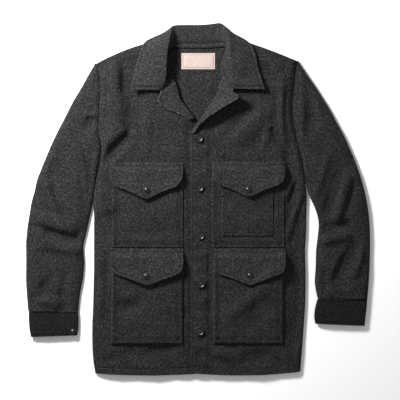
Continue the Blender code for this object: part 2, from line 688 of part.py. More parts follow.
def main():
    clear_scene()
    collection = bpy.data.collections.new("mackinaw_jacket")
    bpy.context.scene.collection.children.link(collection)
    wool = make_material("wool", WOOL, 0.95)
    upper_wool = make_material("wool_light", WOOL_LIGHT, 0.95)
    horn = make_material("horn", HORN, 0.3)
    cotton = make_material("cotton", COTTON, 0.8)
    build_back(wool, collection)
    right, left = build_fronts(wool, collection)
    build_sleeve("right", RIGHT_SLEEVE, RIGHT_SHARED_ROWS, wool, collection)
    build_sleeve("left", LEFT_SLEEVE, LEFT_SHARED_ROWS, wool, collection)
    build_cuff("cuff_right", CUFF_RIGHT, wool, collection)
    build_cuff("cuff_left", CUFF_LEFT, wool, collection)
    build_collar(upper_wool, collection)
    build_lapel("lapel_right", LAPEL_RIGHT, right_front_height, upper_wool, collection)
    build_lapel("lapel_left", LAPEL_LEFT, left_front_height, upper_wool, collection)
    build_pockets(right, left, wool, collection)
    build_flaps(upper_wool, collection)
    build_fastenings(horn, collection)
    build_label(cotton, collection)


main()
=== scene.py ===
# Mackinaw jacket in heavy charcoal wool, laid flat on its back
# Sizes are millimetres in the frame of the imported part: +X to the wearer's left, +Y to the collar
import math
import bpy
import numpy as np
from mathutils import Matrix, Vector
from mathutils.bvhtree import BVHTree


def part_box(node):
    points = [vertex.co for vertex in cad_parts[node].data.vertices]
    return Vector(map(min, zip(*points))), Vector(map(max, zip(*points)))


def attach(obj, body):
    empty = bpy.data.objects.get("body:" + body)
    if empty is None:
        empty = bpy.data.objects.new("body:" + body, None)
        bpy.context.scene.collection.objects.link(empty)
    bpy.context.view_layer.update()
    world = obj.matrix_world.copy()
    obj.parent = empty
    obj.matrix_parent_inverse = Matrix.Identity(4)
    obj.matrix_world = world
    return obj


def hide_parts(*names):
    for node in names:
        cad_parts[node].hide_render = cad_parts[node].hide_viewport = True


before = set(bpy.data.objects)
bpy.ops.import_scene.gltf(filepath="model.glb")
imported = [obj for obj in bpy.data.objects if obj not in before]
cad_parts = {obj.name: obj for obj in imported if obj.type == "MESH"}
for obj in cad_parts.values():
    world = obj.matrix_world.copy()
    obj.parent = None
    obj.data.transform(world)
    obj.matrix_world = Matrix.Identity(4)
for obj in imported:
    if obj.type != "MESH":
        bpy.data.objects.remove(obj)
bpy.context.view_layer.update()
bpy.ops.object.select_all(action="DESELECT")
mm = 0.001
sideSign = {"right": 1, "left": -1}
stitched = []          # seam lines waiting for their thread
print("frame loaded:", len(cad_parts), "nodes")


# Materials

def newMaterial(name):
    material = bpy.data.materials.new(name)
    material.use_nodes = True
    return material, material.node_tree, material.node_tree.nodes["Principled BSDF"]


def addNode(tree, kind, inputs, **settings):
    node = tree.nodes.new("ShaderNode" + kind)
    for key, value in settings.items():
        setattr(node, key, value)
    for key, value in inputs.items():
        if isinstance(value, bpy.types.NodeSocket):
            tree.links.new(value, node.inputs[key])
        else:
            node.inputs[key].default_value = value
    return node


def rampNode(tree, factor, stops):
    node = tree.nodes.new("ShaderNodeValToRGB")
    tree.links.new(factor, node.inputs["Fac"])
    ramp = node.color_ramp
    while len(ramp.elements) < len(stops):
        ramp.elements.new(0.5)
    for element, (place, grey) in zip(ramp.elements, stops):
        element.position = place
        element.color = (grey, grey, grey, 1)
    return node.outputs["Color"]


def mixColour(tree, kind, factor, first, second):
    node = addNode(tree, "Mix", {}, data_type="RGBA", blend_type=kind)
    for slot, value in ((0, factor), (6, first), (7, second)):
        if isinstance(value, bpy.types.NodeSocket):
            tree.links.new(value, node.inputs[slot])
        else:
            node.inputs[slot].default_value = value
    return node.outputs[2]


def noise(tree, place, scale, detail, roughness=0.5, distortion=0.0):
    return addNode(tree, "TexNoise", {"Vector": place, "Scale": scale, "Detail": detail,
                                      "Roughness": roughness, "Distortion": distortion}).outputs


def addBump(tree, shader, height, strength, distance):
    bump = addNode(tree, "Bump", {"Height": height, "Strength": strength, "Distance": distance})
    tree.links.new(bump.outputs["Normal"], shader.inputs["Normal"])


woolLook = {
    "shade": (0.0030, 0.0118, 0.040),  # yarn shadow, ground and light yarn, linear grey
    "yarnAt": (0.36, 0.5, 0.66),       # where these stand on the mottling
    "fleck": 0.058,                    # grey of the loose light fibres
    "heather": 215, "fibre": 420,      # how fine the mottling and the loose fibres are, per metre
    "twillPitch": 0.0019,
    "bump": 0.6,
    "sheen": 0.045,
    "paintedShading": 0.5,                       # how strongly the painted highlight on raised edges and the painted shade along seams and creases show
}


def woolMaterial(name, lift, sheen):
    material, tree, shader = newMaterial(name)
    cloth = addNode(tree, "UVMap", {}, uv_map="cloth").outputs["UV"]
    cloud = noise(tree, cloth, 34, 3, 0.6)
    heather = noise(tree, cloth, woolLook["heather"], 5, 0.78)
    yarns = [(at, shade * lift) for at, shade in zip(woolLook["yarnAt"], woolLook["shade"])]
    tone = rampNode(tree, heather["Fac"], yarns)
    flecks = None
    for turn, seed in ((0.6, 0.0), (-0.9, 3.1), (2.0, 7.7)):
        lay = addNode(tree, "Mapping", {"Vector": cloth, "Rotation": (0, 0, turn),
                                        "Location": (seed, seed, 0), "Scale": (1, 0.42, 1)})
        fibre = noise(tree, lay.outputs["Vector"], woolLook["fibre"], 2)
        level = rampNode(tree, fibre["Fac"], [(0.64, 0.0), (0.76, 1.0)])
        flecks = level if flecks is None else mixColour(tree, "LIGHTEN", 1.0, flecks, level)
    grey = woolLook["fleck"] * lift
    colour = mixColour(tree, "MIX", flecks, tone, (grey, grey, grey, 1))
    broad = rampNode(tree, cloud["Fac"], [(0.3, 0.82), (0.7, 1.16)])
    colour = mixColour(tree, "MULTIPLY", 1.0, colour, broad)
    # painted light and shade: each point's colour is lightened or darkened by its painted shading value
    paintedShading = addNode(tree, "Attribute", {}, attribute_name="paintedShading", attribute_type="GEOMETRY")
    paintedShadingFactor = addNode(tree, "Math", {0: paintedShading.outputs["Fac"], 1: woolLook["paintedShading"], 2: 1.0},
                   operation="MULTIPLY_ADD")
    colour = mixColour(tree, "MULTIPLY", 1.0, colour, paintedShadingFactor.outputs["Value"])
    tree.links.new(colour, shader.inputs["Base Color"])
    turned = addNode(tree, "Mapping", {"Vector": cloth, "Rotation": (0, 0, 0.9)})
    twill = addNode(tree, "TexWave", {"Vector": turned.outputs["Vector"], "Distortion": 2.2, "Detail": 2,
                                      "Scale": 0.314 / woolLook["twillPitch"], "Detail Scale": 1.6})
    fuzz = noise(tree, cloth, 1300, 2, 0.6)
    relief = mixColour(tree, "MIX", 0.55, twill.outputs["Color"], fuzz["Color"])
    relief = mixColour(tree, "MIX", 0.45, relief, heather["Color"])
    addBump(tree, shader, relief, woolLook["bump"], 0.0005)
    shader.inputs["Roughness"].default_value = 0.95
    shader.inputs["Specular IOR Level"].default_value = 0.12
    shader.inputs["Sheen Weight"].default_value = sheen
    shader.inputs["Sheen Roughness"].default_value = 0.45
    return material


def threadMaterial():
    material, tree, shader = newMaterial("thread")
    place = addNode(tree, "TexCoord", {}).outputs["Object"]
    twist = noise(tree, place, 2200, 1)
    tree.links.new(rampNode(tree, twist["Fac"], [(0.35, 0.015), (0.65, 0.045)]),
                   shader.inputs["Base Color"])
    shader.inputs["Roughness"].default_value = 0.6
    return material


def hornMaterial():
    material, tree, shader = newMaterial("horn")
    place = addNode(tree, "TexCoord", {}).outputs["Object"]
    vein = noise(tree, place, 210, 4, distortion=1.6)
    tree.links.new(rampNode(tree, vein["Fac"], [(0.35, 0.003), (0.6, 0.008), (0.75, 0.02)]),
                   shader.inputs["Base Color"])
    polish = noise(tree, place, 900, 2)
    tree.links.new(rampNode(tree, polish["Fac"], [(0.3, 0.27), (0.7, 0.40)]), shader.inputs["Roughness"])
    addBump(tree, shader, polish["Fac"], 0.12, 0.0003)
    shader.inputs["Specular IOR Level"].default_value = 0.45
    return material


labelLook = {
    "left": -39.0, "top": 343.0, "size": (79.0, 38.0), "base": 3.0, "wall": 0.7, "inner": 4.6, "spacing": 2.6,
    "flat": (0.079, 0.038),
    "frame": ((0.5, 35.2), (324.0, 14.8)), "line": 0.55, "lineColour": (0.30, 0.13, 0.10, 1),
}


def labelMaterial():
    material, tree, shader = newMaterial("labelCotton")
    cloth = addNode(tree, "UVMap", {}, uv_map="cloth").outputs["UV"]
    warp = addNode(tree, "TexWave", {"Vector": cloth, "Scale": 0.314 / 0.0007, "Distortion": 0.6},
                   bands_direction="X")
    weft = addNode(tree, "TexWave", {"Vector": cloth, "Scale": 0.314 / 0.0006, "Distortion": 0.6},
                   bands_direction="Y")
    weave = mixColour(tree, "MIX", 0.5, warp.outputs["Color"], weft.outputs["Color"])
    soil = noise(tree, cloth, 90, 3)
    colour = mixColour(tree, "MIX", soil["Fac"], (0.40, 0.315, 0.275, 1), (0.45, 0.37, 0.335, 1))
    colour = mixColour(tree, "MULTIPLY", 0.22, colour, weave)
    place = addNode(tree, "SeparateXYZ", {0: cloth}).outputs
    sides = []
    for axis, (middle, half) in zip("XY", labelLook["frame"]):
        off = addNode(tree, "Math", {0: place[axis], 1: middle * mm}, operation="SUBTRACT").outputs[0]
        off = addNode(tree, "Math", {0: off}, operation="ABSOLUTE").outputs[0]
        sides.append(addNode(tree, "Math", {0: off, 1: half * mm}, operation="SUBTRACT").outputs[0])
    edge = addNode(tree, "Math", {0: sides[0], 1: sides[1]}, operation="MAXIMUM").outputs[0]
    line = addNode(tree, "Math", {0: edge, 1: 0.0, 2: labelLook["line"] * mm}, operation="COMPARE").outputs[0]
    colour = mixColour(tree, "MIX", line, colour, labelLook["lineColour"])
    tree.links.new(colour, shader.inputs["Base Color"])
    addBump(tree, shader, weave, 0.3, 0.0002)
    shader.inputs["Roughness"].default_value = 0.8
    return material


def floorMaterial():
    material, tree, shader = newMaterial("paleFloor")
    place = addNode(tree, "TexCoord", {}).outputs["Object"]
    grain = noise(tree, place, 3, 2)
    tree.links.new(rampNode(tree, grain["Fac"], [(0.0, 0.90), (1.0, 0.94)]), shader.inputs["Base Color"])
    shader.inputs["Roughness"].default_value = 0.9
    shader.inputs["Specular IOR Level"].default_value = 0.1
    return material


wool = woolMaterial("wool", 1.0, woolLook["sheen"])
# painted light: a lighter copy of the same wool for the collar, lapels and flaps
woolPaintedLight = woolMaterial("woolPaintedLight", 1.26, woolLook["sheen"])
# painted shade: a darker copy of the same wool for the cuffs
woolCuff = woolMaterial("woolCuff", 0.50, woolLook["sheen"])
thread = threadMaterial()
horn = hornMaterial()
labelCotton = labelMaterial()
print("materials made")


# Helpers for cloth

def hermite(start, end, leave, arrive, t):
    return ((2 * t ** 3 - 3 * t ** 2 + 1) * start + (t ** 3 - 2 * t ** 2 + t) * leave
            + (3 * t ** 2 - 2 * t ** 3) * end + (t ** 3 - t ** 2) * arrive)


def through(table, steps):
    # a smooth line through the rows of a table, at fractional row numbers
    table = np.asarray(table, float)
    steps = np.asarray(steps, float)
    last = len(table) - 1
    k = np.clip(np.floor(steps).astype(int), 0, last - 1)
    t = (steps - k)[:, None]
    before, here = table[np.maximum(k - 1, 0)], table[k]
    there, after = table[k + 1], table[np.minimum(k + 2, last)]
    leave, arrive = (there - before) / 2, (after - here) / 2
    return hermite(here, there, leave, arrive, t)


def smoothStep(value, low, high):
    t = np.clip((value - low) / (high - low), 0, 1)
    return t * t * (3 - 2 * t)


def segmentDistance(points, start, end):
    # distances (points x segments), place along each segment, and side
    along = end - start
    length = np.maximum((along ** 2).sum(1), 1e-9)
    offset = points[:, None, :] - start[None]
    place = np.clip((offset * along[None]).sum(2) / length, 0, 1)
    away = offset - place[..., None] * along[None]
    side = np.sign(along[None, :, 0] * offset[..., 1] - along[None, :, 1] * offset[..., 0])
    return np.sqrt((away ** 2).sum(2)), place, side


# a crease: its curve in steps, how blunt its ends are, and the hollow on one side of it
creaseShape = {"steps": 8, "blunt": 0.6, "hollow": 0.42, "hollowAt": 1.9, "hollowWidth": 1.3}


def creaseHeight(points, creases):
    # soft folds: from x, y by x, y to x, y, half width and height (minus = trough), lower on one side
    flat = points.reshape(-1, 2)
    height = np.zeros(len(flat))
    for x0, y0, x1, y1, x2, y2, halfWidth, rise in creases:
        t = np.linspace(0, 1, creaseShape["steps"] + 1)[:, None]
        start, middle, end = np.array([x0, y0]), np.array([x1, y1]), np.array([x2, y2])
        line = (1 - t) ** 2 * start + 2 * t * (1 - t) * middle + t ** 2 * end
        reach = 5 * halfWidth + np.ptp(line, axis=0).max()
        near = np.flatnonzero((np.abs(flat - line.mean(0)).max(1)) < reach)
        if not len(near):
            continue
        distance, place, side = segmentDistance(flat[near], line[:-1], line[1:])
        best = distance.argmin(1)
        pick = np.arange(len(near))
        d = distance[pick, best] * side[pick, best]
        s = (best + place[pick, best]) / creaseShape["steps"]
        taper = np.clip(4 * s * (1 - s), 0, 1) ** creaseShape["blunt"]
        beside = (d - creaseShape["hollowAt"] * halfWidth) / (creaseShape["hollowWidth"] * halfWidth)
        ridge = np.exp(-(d / halfWidth) ** 2) - creaseShape["hollow"] * np.exp(-beside ** 2)
        height[near] += rise * taper * ridge
    return height.reshape(points.shape[:-1])


def foldHeight(points, folds):
    # broad folds as the solids have them: x, y, x, y, half width, height
    table = np.array(folds, float)
    distance, _, _ = segmentDistance(points, table[:, 0:2], table[:, 2:4])
    return (table[:, 5] * np.exp(-(distance / table[:, 4]) ** 2)).sum(1)


def seamRelief(distance, along, at, seed, depth=1.15, pucker=0.6):
    # a sewn line at a distance from an edge: a narrow groove, with the cloth puckered along it
    groove = np.exp(-((distance - at) / 1.5) ** 2)
    wave = np.sin(along / 2.9 + 1.9 * np.sin(along / 23 + seed) + seed)
    wave = wave + 0.8 * np.sin(along / 6.1 + 2.3 * seed)
    return -depth * groove + 0.6 * pucker * wave * np.exp(-((distance - at) / 6.5) ** 2)


def seamPaintedShade(distance, at):
    # painted shade along a sewn line's groove
    return -np.exp(-((distance - at) / 1.7) ** 2)


def edgePaintedLight(distance, reach=2.6):
    # painted highlight along a turned edge; subtracted, it paints shade there
    return np.exp(-(distance / reach) ** 2)


def edgeDrop(distance, radius):
    # a turned edge: the outer face rounds down over this radius
    d = np.clip(radius - distance, 0, radius)
    return radius - np.sqrt(np.maximum(radius ** 2 - d ** 2, 0))


def lumps(points, seed, size, height):
    # slow unevenness of heavy cloth, from a few crossed waves
    rng = np.random.default_rng(seed)
    total = np.zeros(points.shape[:-1])
    for _ in range(7):
        angle = rng.uniform(0, math.pi)
        wave = rng.uniform(0.6, 1.6) * size
        across = points[..., 0] * math.cos(angle) + points[..., 1] * math.sin(angle)
        total += np.sin(across * 2 * math.pi / wave + rng.uniform(0, 6.3))
    return total * height / 4


def unevenness(points, seed):
    fine = lumps(points, seed + 50, 38, 0.22) + lumps(points, seed + 90, 19, 0.08)
    return lumps(points, seed, 100, 0.6) + fine


def runLength(line):
    # how far along a line each of its points lies
    return np.concatenate([[0], np.cumsum(np.linalg.norm(np.diff(line, axis=0), axis=1))])


def withHeight(plan, height, paintedShading):
    return np.concatenate([plan, height[..., None], paintedShading[..., None]], -1)


def facingUp(points, side):
    # rows from the hem up, columns from the wearer's right, so that the face looks up
    return points[::-1] if side == "right" else points[::-1, ::-1]


def deselectAll():
    bpy.ops.object.select_all(action="DESELECT")


def applyModifier(piece, kind, name, **settings):
    bpy.context.view_layer.objects.active = piece
    modifier = piece.modifiers.new(name, kind)
    for key, value in settings.items():
        setattr(modifier, key, value)
    bpy.ops.object.modifier_apply(modifier=name)


def clothGrid(name, points, uv, wall, material):
    # a grid primitive whose points take their places from the cut, then a wall; a fourth number is the painted
    # light and shade
    rows, columns = points.shape[:2]
    deselectAll()
    bpy.ops.mesh.primitive_grid_add(x_subdivisions=columns - 1, y_subdivisions=rows - 1, size=1,
                                    calc_uvs=True)
    piece = bpy.context.object
    piece.name = piece.data.name = name
    piece.data.vertices.foreach_set("co", (points[..., :3].reshape(-1, 3) * mm).astype(np.float32).ravel())
    paintedShading = points[..., 3] if points.shape[-1] > 3 else np.zeros(points.shape[:2])
    paintedShadingLayer = piece.data.attributes.new("paintedShading", "FLOAT", "POINT")
    paintedShadingLayer.data.foreach_set("value", paintedShading.astype(np.float32).ravel())
    layer = piece.data.uv_layers[0]
    layer.name = "cloth"
    corner = np.zeros(len(piece.data.loops), np.int32)
    piece.data.loops.foreach_get("vertex_index", corner)
    layer.data.foreach_set("uv", (uv.reshape(-1, 2)[corner] * mm).astype(np.float32).ravel())
    piece.data.update()
    if wall:
        applyModifier(piece, "SOLIDIFY", "wall", thickness=wall * mm, offset=-1)
    bpy.ops.object.shade_smooth_by_angle(angle=math.radians(55))
    piece.data.materials.append(material)
    return piece


def wear(piece, slot, *nodes):
    # the piece rides on the jacket's one body and stands for its solids
    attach(piece, "root")
    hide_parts(*nodes)
    return piece


def turnedUv(points, degrees, shift):
    angle = math.radians(degrees)
    x, y = points[..., 0] + shift, points[..., 1] + 0.7 * shift
    cos, sin = math.cos(angle), math.sin(angle)
    return np.stack([x * cos + y * sin, y * cos - x * sin], -1)


def arcUv(points, shift):
    down = np.linalg.norm(np.diff(points[..., :3], axis=0), axis=2).mean(1)
    across = np.linalg.norm(np.diff(points[..., :3], axis=1), axis=2)
    v = np.concatenate([[0], np.cumsum(down)])[:, None] + 0 * points[..., 0]
    u = np.concatenate([np.zeros((len(points), 1)), np.cumsum(across, axis=1)], axis=1)
    return np.stack([u + shift, v + 0.6 * shift], -1)


def addStitches(piece, line):
    # a line of x, y places on a piece, sewn once everything is in place
    stitched.append((piece, [tuple(p) for p in line]))


# Body: back, fronts and the lines where they roll down

cloth = {
    "wall": 2.5, "pocketWall": 2.2, "gap": 0.4, "seamGap": 0.24,
    "seamHeight": 4.4, "bodyLoft": 13.0, "hemLoft": 12.4, "hemRise": (-407.0, -330.0), "sleeveLoft": 15.5,
    "rollWidth": 27.0, "rollPower": 2.2, "foldFade": 14.0,
    "overlapLift": 1.3, "overlapDrop": 1.9, "overlapX": (-27.0, -19.0), "overlapEndX": (22.0, 48.0),
    "spacing": 3.4, "foldRise": 3.0, "foldLimit": (9.5, 6.6),
    "buttonPlaces": ((2.2, 142.9), (3.2, 28.2), (5.3, -83.7), (5.5, -196.5), (3.6, -306.9)),
    "buttonPull": 1.3,
    "neckDrop": 6.8, "neckFloor": 5.6,
}


def straightRows(edgeX, *places):
    # rows that run level from the side to the front edge
    return [(x, y, edgeX, y, 0.0, 1.00) for x, y in places]


# rows from shoulder to hem: side x, side y, edge x, edge y, bow, drop of the seam
frontCut = {
    "right": (
        (-241, 317, -71, 376, 9, 1), (-235, 303, -64, 356, 7, 0.35), (-232, 283, -55, 328, 5, 0.18),
        (-231, 262, -56, 297, 3, 0.14), (-232, 238, -57, 264, 1.5, 0.14), (-233, 212, -48, 235, 0, 0.18),
        (-234, 187, -31, 211, 0, 0.30), (-235, 160, -16, 192, 0, 0.55), (-229, 137, 3, 170, 0, 0.75),
        (-227, 116, 18, 144, 0, 0.90),
        *straightRows(22, (-231, 86), (-235, 64), (-241, 34), (-245, 1), (-244, -37), (-244, -74), (-244, -112),
                      (-244, -135), (-244, -166), (-245, -200), (-246, -246), (-248, -293), (-248, -337)),
        (-246, -373, 22, -372, -2, 1), (-241, -407, 22, -406, -5, 1),
    ),
    "left": (
        (233, 324, 78, 380, 3, 1), (229, 308, 72, 357, 2, 0.80), (226, 288, 54, 332, 1, 0.75),
        (224, 266, 49, 304, 0, 0.72), (221, 241, 58, 279, 0, 0.70), (219, 215, 52, 250, 0, 0.68),
        (221, 184, 32, 218, 0, 0.66), (227, 154, 13, 191, 0, 0.72), (233, 123, -3, 167, 0, 0.85),
        (239, 104, -15, 146, 0, 1),
        *straightRows(-15, (243, 88), (247, 64), (252, 36), (255, 6), (254, -37), (253, -85), (251, -112),
                      (251, -135), (252, -166), (252, -198), (251, -246), (248, -293), (245, -336)),
        (242, -373, -15, -372, -3, 1), (240, -403, -15, -406, -7, 1),
    ),
}
backCut = {
    "neck": ((-71, 376), (-50, 362), (-24, 359.5), (5, 358.5), (33, 360), (61, 364), (78, 380)),
}
# sleeves: the inner edge shares rows with the front, from its second one, then has its own points
sleeveCut = {
    "right": {
        "shared": 13,
        "outer": ((-241.5, 318), (-259, 288), (-274, 261), (-292, 231), (-309, 198), (-327, 163), (-343, 130),
                  (-357, 97), (-368, 70), (-378, 43), (-383, 20), (-390, -5), (-395, -34), (-400, -67),
                  (-403, -100), (-403, -131), (-403, -161), (-403, -192), (-401, -225), (-398, -261)),
        "inner": ((-252, -33), (-261, -74), (-269, -110), (-267, -145), (-270, -185), (-277, -222), (-281, -261)),
    },
    "left": {
        "shared": 11,
        "outer": ((233.5, 325), (257, 290), (275, 264), (293, 236), (309, 210), (325, 180), (342, 149), (355, 120),
                  (364, 100), (370, 84), (378, 62), (386, 36), (394, 3), (399, -27), (402, -58), (403, -88),
                  (403, -124), (402, -159), (400, -196), (397, -232)),
        "inner": ((253.5, 36), (262, 7), (276, -25), (283, -55), (281, -86), (277, -121), (276, -159), (274, -196),
                  (280, -231)),
    },
}
bodyFolds = (
    (-196, 299, -194, 172, 17, 4.6), (-152, 318, -146, 205, 17, -4.6), (-158, 142, -214, 90, 9, -4.5),
    (-176, 160, -224, 122, 10, 3.2), (214, 125, 216, 55, 11, -3.8), (164, 205, 99, 140, 17, 3.2),
    (150, -213, 80, -265, 18, 2.2), (-174, -251, -162, -246, 17, -2.2), (-113, -359, -70, -354, 13, -2.2),
    (120, -372, 160, -366, 14, -2), (236, -20, 230, -330, 17, -2.6), (-228, 12, -220, -14, 9, 2.2),
)
sleeveFolds = (
    (-348, -80, -284, -101, 8.5, -6.8), (-362, -46, -296, -70, 11, 3.8), (-354, -98, -284, -120, 11, 2.4),
    (-348, 34, -303, -60, 9, 2.2), (-259, 172, -249, 181, 9, -3.6), (-353, -236, -334, -246, 10, 2.6),
    (-315, -225, -308, -255, 9, -2.4), (348, -60, 294, -75, 8.5, -6), (348, -86, 298, -97, 11, 3.2),
    (327, 50, 303, -34, 11, -4.6), (347, 46, 324, -50, 10, 3), (364, -119, 334, -178, 13, -3.6),
)
lapelTuck = ((-3, 178, -6, 148, 16, -5.0),)
# finer creases: from x, y by x, y to x, y, half width, height
bodyCreases = (
    (19, 154, 61, 191, 113, 229, 13, -2.2), (-165, 240, -140, 236, -112, 238, 10, -1.2),
    (-221, 295, -223, 238, -219, 182, 6.5, 1.3), (-195, 323, -190, 281, -193, 234, 7, 1.2),
    (-209, 304, -207, 266, -212, 224, 5.5, -1), (-153, 172, -186, 118, -221, 78, 7.5, -2.6),
    (-174, 191, -202, 144, -226, 116, 8.5, 2.2), (-228, 111, -212, 97, -205, 78, 6, -1.5),
    (-237, 182, -228, 140, -237, 93, 6.5, -1.6), (-179, 332, -167, 285, -176, 243, 9, -1.4),
    (-129, 191, -113, 144, -122, 97, 12, 0.9), (-89, 168, -80, 135, -52, 102, 10, -0.9),
    (-193, -13, -221, -34, -237, -16, 9, 1.4), (-237, -34, -221, -53, -207, -95, 7, -1.1),
    (-233, -142, -221, -218, -230, -307, 8, 0.9), (-216, -119, -209, -161, -214, -208, 6, -1.3),
    (-235, -307, -221, -342, -235, -392, 8, -0.8), (200, 295, 193, 210, 197, 116, 7.5, 1.9),
    (169, 168, 188, 144, 209, 111, 9, -2.4), (150, 323, 169, 299, 193, 290, 9, -1.4),
    (89, 137, 115, 177, 155, 210, 10, 1.8), (66, 161, 94, 191, 131, 224, 10, -1.4),
    (150, 116, 164, 140, 169, 182, 9, 1.5), (37, 116, 56, 102, 89, 97, 9, 0.8),
    (218, -58, 235, -16, 244, 17, 7, 2.4), (211, -16, 221, 17, 235, 50, 6.5, -2.2),
    (214, -110, 230, -77, 247, -53, 8, -1.6), (221, -166, 230, -213, 221, -283, 8, 1),
    (214, -307, 230, -342, 218, -387, 8, -1.1), (-113, -359, -71, -387, -47, -406, 8, -1.4),
    (-5, -359, 37, -377, 99, -396, 8, -1.5), (37, -354, 80, -359, 127, -382, 8, 1.3),
    (136, -354, 169, -373, 207, -392, 9, -1.6), (-188, -359, -151, -373, -132, -396, 9, 1.1),
    (-226, -382, -188, -368, -155, -354, 9, -0.9), (-12, 121, 5, 107, 23, 111, 8, 1.1),
    (-12, 64, 5, 55, 23, 64, 7, 1.2), (-12, -11, 5, -20, 26, -11, 7, 1.1), (-14, -53, 5, -46, 23, -55, 6, 1),
    (-12, -128, 5, -135, 23, -124, 7, 1.2), (-12, -161, 5, -157, 23, -166, 6, 1),
    (-12, -232, 5, -241, 26, -232, 7, 1.2), (-12, -274, 5, -267, 23, -276, 6, 1.1),
    (-12, -340, 5, -347, 23, -337, 7, 1.2), (-28, 177, -19, 116, -26, 50, 7, -0.8),
    (30, 125, 35, 93, 30, 46, 7, -0.7), (-26, -119, -24, -213, -26, -330, 7, 0.7),
    (28, -119, 26, -213, 30, -330, 6, -0.9), (-160, 304, -146, 328, -139, 351, 9, 1.4),
)
sleeveCreases = (
    (-247, 135, -249, 69, -256, -6, 8, -1.4), (-259, -63, -277, -91, -310, -98, 5.5, -1.5),
    (-343, 41, -320, -20, -292, -77, 9, -1.3), (-386, -58, -348, -77, -296, -86, 6.5, -2),
    (-390, -34, -343, -44, -287, -63, 8, 1.6), (-381, -114, -343, -110, -296, -124, 8, 1.4),
    (-348, 50, -324, -13, -299, -77, 8, -1.9), (-362, 55, -334, -16, -310, -77, 7, 1.4),
    (-320, 187, -287, 140, -263, 69, 10, 1.3), (-296, 234, -277, 205, -268, 168, 8, -1.2),
    (-259, 191, -247, 177, -233, 168, 7, -2.6), (-263, 205, -249, 194, -233, 189, 6, 1.7),
    (-381, -241, -355, -232, -324, -239, 7, 2.2), (-376, -215, -357, -204, -339, -175, 8, -1.2),
    (-320, -227, -310, -201, -306, -161, 8, -1.6), (-390, -147, -367, -180, -371, -227, 8, 1.2),
    (-268, 116, -252, 74, -249, 22, 7, -1.2), (-292, 55, -277, -1, -277, -58, 8, 1),
    (345, -53, 319, -60, 282, -72, 6.5, -2.4), (338, -30, 315, -39, 287, -51, 6, 1.8),
    (352, -77, 324, -86, 287, -95, 8, 1.5), (334, 55, 317, -1, 296, -53, 8, -2.6),
    (352, 55, 341, -1, 319, -39, 8, 1.8), (305, 116, 291, 46, 268, -1, 9, 1.2),
    (366, -110, 352, -147, 329, -180, 9, -2.2), (385, -95, 381, -147, 362, -194, 8, 1.5),
    (334, -119, 319, -147, 305, -189, 8, 1.2), (240, 257, 249, 196, 240, 135, 8, 1.4),
    (254, 281, 272, 210, 272, 140, 10, -1.1), (244, 102, 254, 69, 249, 31, 7, 1.4),
    (296, -208, 329, -218, 362, -213, 8, 1.1), (310, -189, 343, -196, 376, -185, 8, -1.2),
    (291, -166, 301, -194, 296, -227, 7, -1.1), (-334, 116, -343, 83, -371, 64, 11, 0.9),
    (322, 163, 345, 116, 376, 93, 11, -0.9),
)


def cutPlan(rows, steps, nearSide, nearEdge):
    # plan places of a front: fixed distances beside the side and the edge, even ones between
    table = through(rows, steps)
    sideX, sideY, edgeX, edgeY, bow = (table[:, k][:, None] for k in range(5))
    width = np.hypot(edgeX - sideX, edgeY - sideY)
    count = int((width.max() - nearSide[-1] - nearEdge[-1]) / cloth["spacing"])
    spread = (np.arange(1, count) / count)[None, :]
    low, high = nearSide[-1] / width, 1 - nearEdge[-1] / width
    share = np.concatenate([np.array(nearSide)[None, :] / width, low + (high - low) * spread,
                            1 - np.array(nearEdge)[::-1][None, :] / width], axis=1)
    x = sideX + (edgeX - sideX) * share
    y = sideY + (edgeY - sideY) * share + bow * 4 * share * (1 - share)
    return np.stack([x, y], -1), share * width, (1 - share) * width


def fineSteps(last, each):
    # row numbers with close ones at the top and at the bottom
    top = [0, 0.02, 0.05, 0.1, 0.17, 0.26, 0.38, 0.55, 0.75]
    body = list(np.linspace(1, last - 1, int((last - 2) * each) + 1))
    hem = [last - d for d in (0.85, 0.7, 0.6, 0.54, 0.5, 0.46, 0.42, 0.36, 0.27, 0.18, 0.1, 0.05, 0.02, 0)]
    return np.array(top + body + hem)


lastRow = len(frontCut["left"]) - 1
lastOuter = len(sleeveCut["left"]["outer"]) - 1
sideSteps = np.linspace(0, lastRow, lastRow * 4 + 1)
rollLines = {}
for side, rows in frontCut.items():
    table = through(rows, sideSteps)
    shoulder = through(rows, [0.0])[0]
    share = np.linspace(0, 1, 41)
    top = np.stack([shoulder[0] + (shoulder[2] - shoulder[0]) * share,
                    shoulder[1] + (shoulder[3] - shoulder[1]) * share + shoulder[4] * 4 * share * (1 - share)], -1)
    cut = sleeveCut[side]
    sharedSide = through(rows, np.linspace(0.03, cut["shared"], (cut["shared"] - 1) * 4 + 1))[:, :2]
    own = np.vstack([sharedSide[-1:], np.array(cut["inner"], float)])
    ownLine = through(own, np.linspace(0, len(own) - 1, (len(own) - 1) * 4 + 1))
    outerLine = through(cut["outer"], np.linspace(0, lastOuter, lastOuter * 4 + 1))
    cut["innerLine"] = np.vstack([sharedSide, ownLine[1:]])
    rollLines[side] = ((table[:, :2], np.clip(table[:, 5], 0, 1)), (top, np.ones(len(top))),
                       (outerLine, np.ones(len(outerLine))), (ownLine, np.ones(len(ownLine))))


def rollShare(flat, side, chunk=4000):
    # how far each point is past the roll beside a seam, and its distance from the nearest one
    share = np.ones(len(flat))
    nearest = np.full(len(flat), 1e9)
    for start in range(0, len(flat), chunk):
        part = slice(start, start + chunk)
        for line, drop in rollLines[side]:
            distance, place, _ = segmentDistance(flat[part], line[:-1], line[1:])
            here = drop[:-1] + (drop[1:] - drop[:-1]) * place
            t = np.clip(distance / cloth["rollWidth"], 0, 1)
            curve = (1 - (1 - t) ** cloth["rollPower"]) ** (1 / cloth["rollPower"])
            share[part] = np.minimum(share[part], (1 - here * (1 - curve)).min(1))
            nearest[part] = np.minimum(nearest[part], distance.min(1))
    return share, nearest


